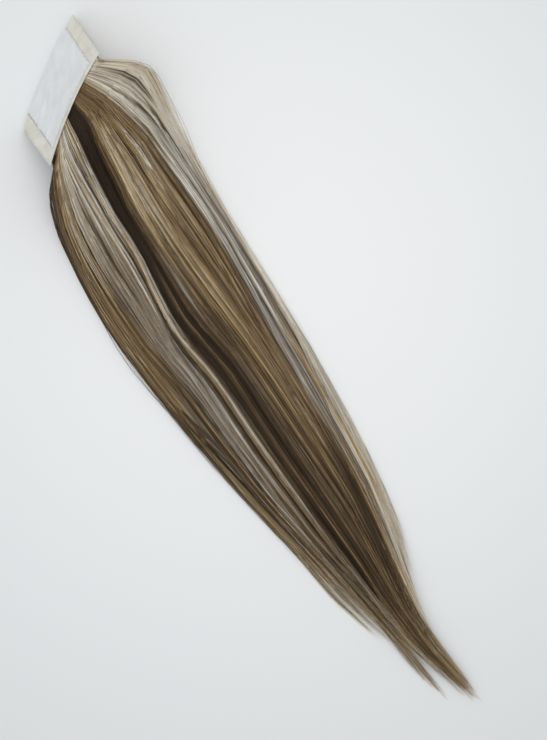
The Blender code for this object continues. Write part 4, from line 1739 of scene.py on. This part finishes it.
    def set_tone_map(
        self, mesh: bpy.types.Mesh, tone: np.ndarray, ash: np.ndarray, corner: np.ndarray, ring: np.ndarray
    ) -> None:
        """Write the tone map: u is the tone and v the ash, spread a little to give every face some size on
        it.

        Args:
            mesh: The mesh.
            tone: Each vertex's tone.
            ash: Each vertex's ash.
            corner: Each vertex's place round its strand.
            ring: 0 or 1 by turns down the strand.
        """
        step = self.sizes.map_step
        u = np.clip(tone, 0.02, 0.97) + step * (corner - 1.0)
        v = np.clip(ash, 0.02, 0.97) + step * (ring - 0.5) + step * 0.5 * (corner % 2)
        set_map(mesh, TONE_MAP, np.stack((u, v), axis=-1))
        for name in [a.name for a in mesh.attributes if a.domain == "POINT" and a.data_type == "FLOAT"]:
            mesh.attributes.remove(mesh.attributes[name])

    def body_mesh(self, material: bpy.types.Material) -> bpy.types.Mesh:
        """Make the inner body that fills the section under its loose strands.

        Args:
            material: The hair's material.

        Returns:
            The body.
        """
        fall, patch, sizes = self.fall, self.fall.patch, self.sizes
        edge_in = 0.012
        columns = max(8, int((self.stop - self.start) * 150))
        number = np.linspace(max(self.start, edge_in), min(self.stop, 1.0 - edge_in), columns)
        # Under the flap: over the tucked lip first, and down to the surface in front of it
        lip_end = patch.lip + patch.clearance
        over_lip = patch.silk_outer + patch.clearance
        drop_end = lip_end + over_lip
        forwards = np.array((0.001, 0.5 * lip_end, lip_end, drop_end, 0.5 * (drop_end + patch.flap_reach)))
        floors = np.array((over_lip, over_lip, over_lip, 0.0, 0.0))
        root_across = np.clip(fall.flow(np.zeros(columns), number), 0.01, 0.99)
        f, w = np.meshgrid(forwards, root_across, indexing="ij")
        roots = fall.under_flap(f, w, np.full_like(f, 0.0009))
        root_low = roots.copy()
        root_low[..., 2] = floors[:, None]
        # On the surface
        share = np.linspace(0.0, 1.0, sizes.body_points + 1)[1:, None] ** sizes.body_crowding
        ends = fall.end_run(number) - sizes.body_short
        run = share * ends
        labels = np.repeat(number[None], len(run), axis=0)
        across = np.clip(fall.flow(run, labels), 0.008, 0.992)
        top = self.surface(run, labels, across)
        near_end = smooth(run / ends, 0.8, 1.0)
        height = np.maximum(top - np.minimum(0.0013, 0.45 * top), 0.0004) * (1.0 - 0.85 * near_end)
        plan = fall.plan(run, across)
        crest = np.concatenate((plan, height[..., None]), axis=-1)
        base = np.concatenate((plan, np.zeros_like(height)[..., None]), axis=-1)
        tops, lows = np.concatenate((roots, crest)), np.concatenate((root_low, base))
        mesh = slab_mesh(f"{self.node}_body", tops, lows, material)
        at_root = ((len(forwards), 0), (0, 0))
        tone, ash = self.chart.dye(np.pad(run, at_root), np.pad(labels, at_root, mode="edge"))
        row, column = np.indices(tone.shape)
        # Painted shade: the inner body gets a darker tone than the strands over it
        dye = (self.body_shade_factor * tone, ash, column % 3, row % 2)
        self.set_tone_map(mesh, *(np.tile(values.ravel(), 2) for values in dye))
        return mesh

    def build(self, tree: bpy.types.NodeTree, material: bpy.types.Material) -> list[bpy.types.Object]:
        """Build and dress the section.

        Args:
            tree: The strand tree.
            material: The hair's material.

        Returns:
            Its pieces: the body under its first layer of strands, and any other layer.
        """
        pieces = []
        for layer in range(self.layers):
            mesh = self.strand_mesh(tree, material, layer)
            if layer == 0:
                mesh = join_meshes(self.node, (mesh, self.body_mesh(material)))
            piece = new_object(f"{self.node}_strands_{layer + 1}", mesh)
            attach(piece, ROOT_BODY)
            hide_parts(self.node)
            pieces.append(piece)
        return pieces


# The studio


@dataclass
class Studio:
    """Floor, lights and camera."""

    floor_size: float = 8.0
    camera_place: tuple = (0.01784, -0.00813, 1.5)
    camera_turn: float = math.radians(-35.16)
    view_width: float = 0.4376  # metres across the image on the floor
    sensor: float = 36.0
    finish: FloorFinish = FloorFinish()

    def add_floor(self) -> None:
        """Add the floor."""
        half = 0.5 * self.floor_size
        points = np.array(((-half, -half, 0.0), (half, -half, 0.0), (half, half, 0.0), (-half, half, 0.0)))
        mesh = mesh_from_arrays("floor", points, ((0, 1, 2, 3),))
        mesh.materials.append(self.finish.build())
        new_object("floor", mesh)

    def add_light(self, name: str, place: Sequence[float], size: float, power: float, colour: str) -> None:
        """Add a square soft light that faces the object.

        Args:
            name: The light's name.
            place: Its middle.
            size: Its side.
            power: Its power in watts.
            colour: Its colour, as an sRGB hex code.
        """
        light = bpy.data.lights.new(name, "AREA")
        light.size = size
        light.energy = power
        light.color = srgb(colour)[:3]
        holder = bpy.data.objects.new(name, light)
        holder.location = place
        holder.rotation_euler = (-Vector(place)).to_track_quat("-Z", "Y").to_euler()
        bpy.context.scene.collection.objects.link(holder)

    def add_world(self) -> None:
        """Add the even light of a pale room."""
        world = bpy.data.worlds.new("Pale room")
        world.use_nodes = True
        ground = world.node_tree.nodes["Background"]
        ground.inputs["Color"].default_value = srgb("#eff1f3")
        ground.inputs["Strength"].default_value = 0.73
        bpy.context.scene.world = world

    def add_camera(self) -> None:
        """Add the camera, straight above and turned about its line of sight."""
        camera = bpy.data.cameras.new("camera")
        camera.sensor_fit = "HORIZONTAL"
        camera.sensor_width = self.sensor
        camera.lens = self.sensor * self.camera_place[2] / self.view_width
        holder = bpy.data.objects.new("camera", camera)
        holder.location = self.camera_place
        holder.rotation_euler = (0.0, 0.0, self.camera_turn)
        bpy.context.scene.collection.objects.link(holder)
        bpy.context.scene.camera = holder

    def build(self) -> None:
        """Set the whole studio up."""
        self.add_floor()
        self.add_world()
        self.add_light("key_light", (0.35, 0.35, 2.2), 1.8, 17.0, "#fffdfa")
        self.add_light("fill_light", (-1.2, 0.2, 1.6), 1.6, 3.5, "#f6f8ff")
        self.add_camera()
        bpy.context.scene.view_settings.view_transform = "Standard"


def hair_sections(fall: FallShape, chart: DyeChart, sizes: StrandSizes) -> list[HairSection]:
    """List the hair's sections from left to right.

    Args:
        fall: The fall's shape.
        chart: Its colouring.
        sizes: The strands' sizes.

    Returns:
        The sections, named as their nodes.
    """
    shared = {"fall": fall, "chart": chart, "sizes": sizes}
    # Loose strands. Each row: middle run, reach along the run, and distance out in metres.
    left_loose = ((0.22, 0.10, 0.0030), (0.38, 0.10, 0.0050), (0.55, 0.10, 0.0030), (0.82, 0.09, 0.0060))
    right_loose = ((0.05, 0.07, 0.0100), (0.20, 0.10, 0.0045), (0.45, 0.10, 0.0035), (0.78, 0.08, 0.0060))
    return [
        HairSection(
            "hair_caramel_edge", 0.00, 0.16, 1, 232, 11, pale_share=0.12, dark_share=0.22, trim=0.22,
            wall=Lay.LEFT_WALL, lock_bounds=(-0.02, 0.07, 0.16), loose=left_loose, **shared,
        ),
        HairSection(
            "hair_platinum", 0.16, 0.41, 2, 232, 12, pale_share=0.18, dark_share=0.34,
            lock_bounds=(0.16, 0.25, 0.33, 0.41), **shared,
        ),
        HairSection(
            "hair_dark_streak", 0.41, 0.53, 1, 235, 13, pale_share=0.04, dark_share=0.0,
            lock_bounds=(0.41, 0.465, 0.53), **shared,
        ),
        HairSection(
            "hair_golden", 0.53, 0.80, 2, 238, 14, pale_share=0.16, dark_share=0.22,
            lock_bounds=(0.53, 0.62, 0.71, 0.80), **shared,
        ),
        HairSection(
            "hair_ash", 0.80, 0.93, 1, 238, 15, pale_share=0.14, dark_share=0.24,
            lock_bounds=(0.80, 0.87, 0.93), **shared,
        ),
        HairSection(
            "hair_blonde_edge", 0.93, 1.00, 1, 190, 16, pale_share=0.10, dark_share=0.14, trim=0.20,
            wall=Lay.RIGHT_WALL, lock_bounds=(0.93, 0.965, 1.03), loose=right_loose, **shared,
        ),
    ]  # fmt: skip


def main() -> None:
    """Build the studio and the closure, and report each piece."""
    logging.basicConfig(level=logging.INFO, format="%(message)s")
    Studio().build()
    patch = PatchShape()
    fall = FallShape(patch=patch)
    tree = strand_tree()
    hair = HairFinish().build()
    sections = []
    for section in hair_sections(fall, DyeChart(), StrandSizes()):
        sections.extend(section.build(tree, hair))
    lace = LaceBase(patch).build(rests_on=sections)
    silk = SilkPanel(patch).build(rests_on=[lace])
    stitches = SeamStitches(patch).build()
    for piece in (*sections, lace, silk, stitches):
        piece.data.calc_loop_triangles()
        LOG.info("%s: %d triangles", piece.name, len(piece.data.loop_triangles))


if __name__ == "__main__":
    main()
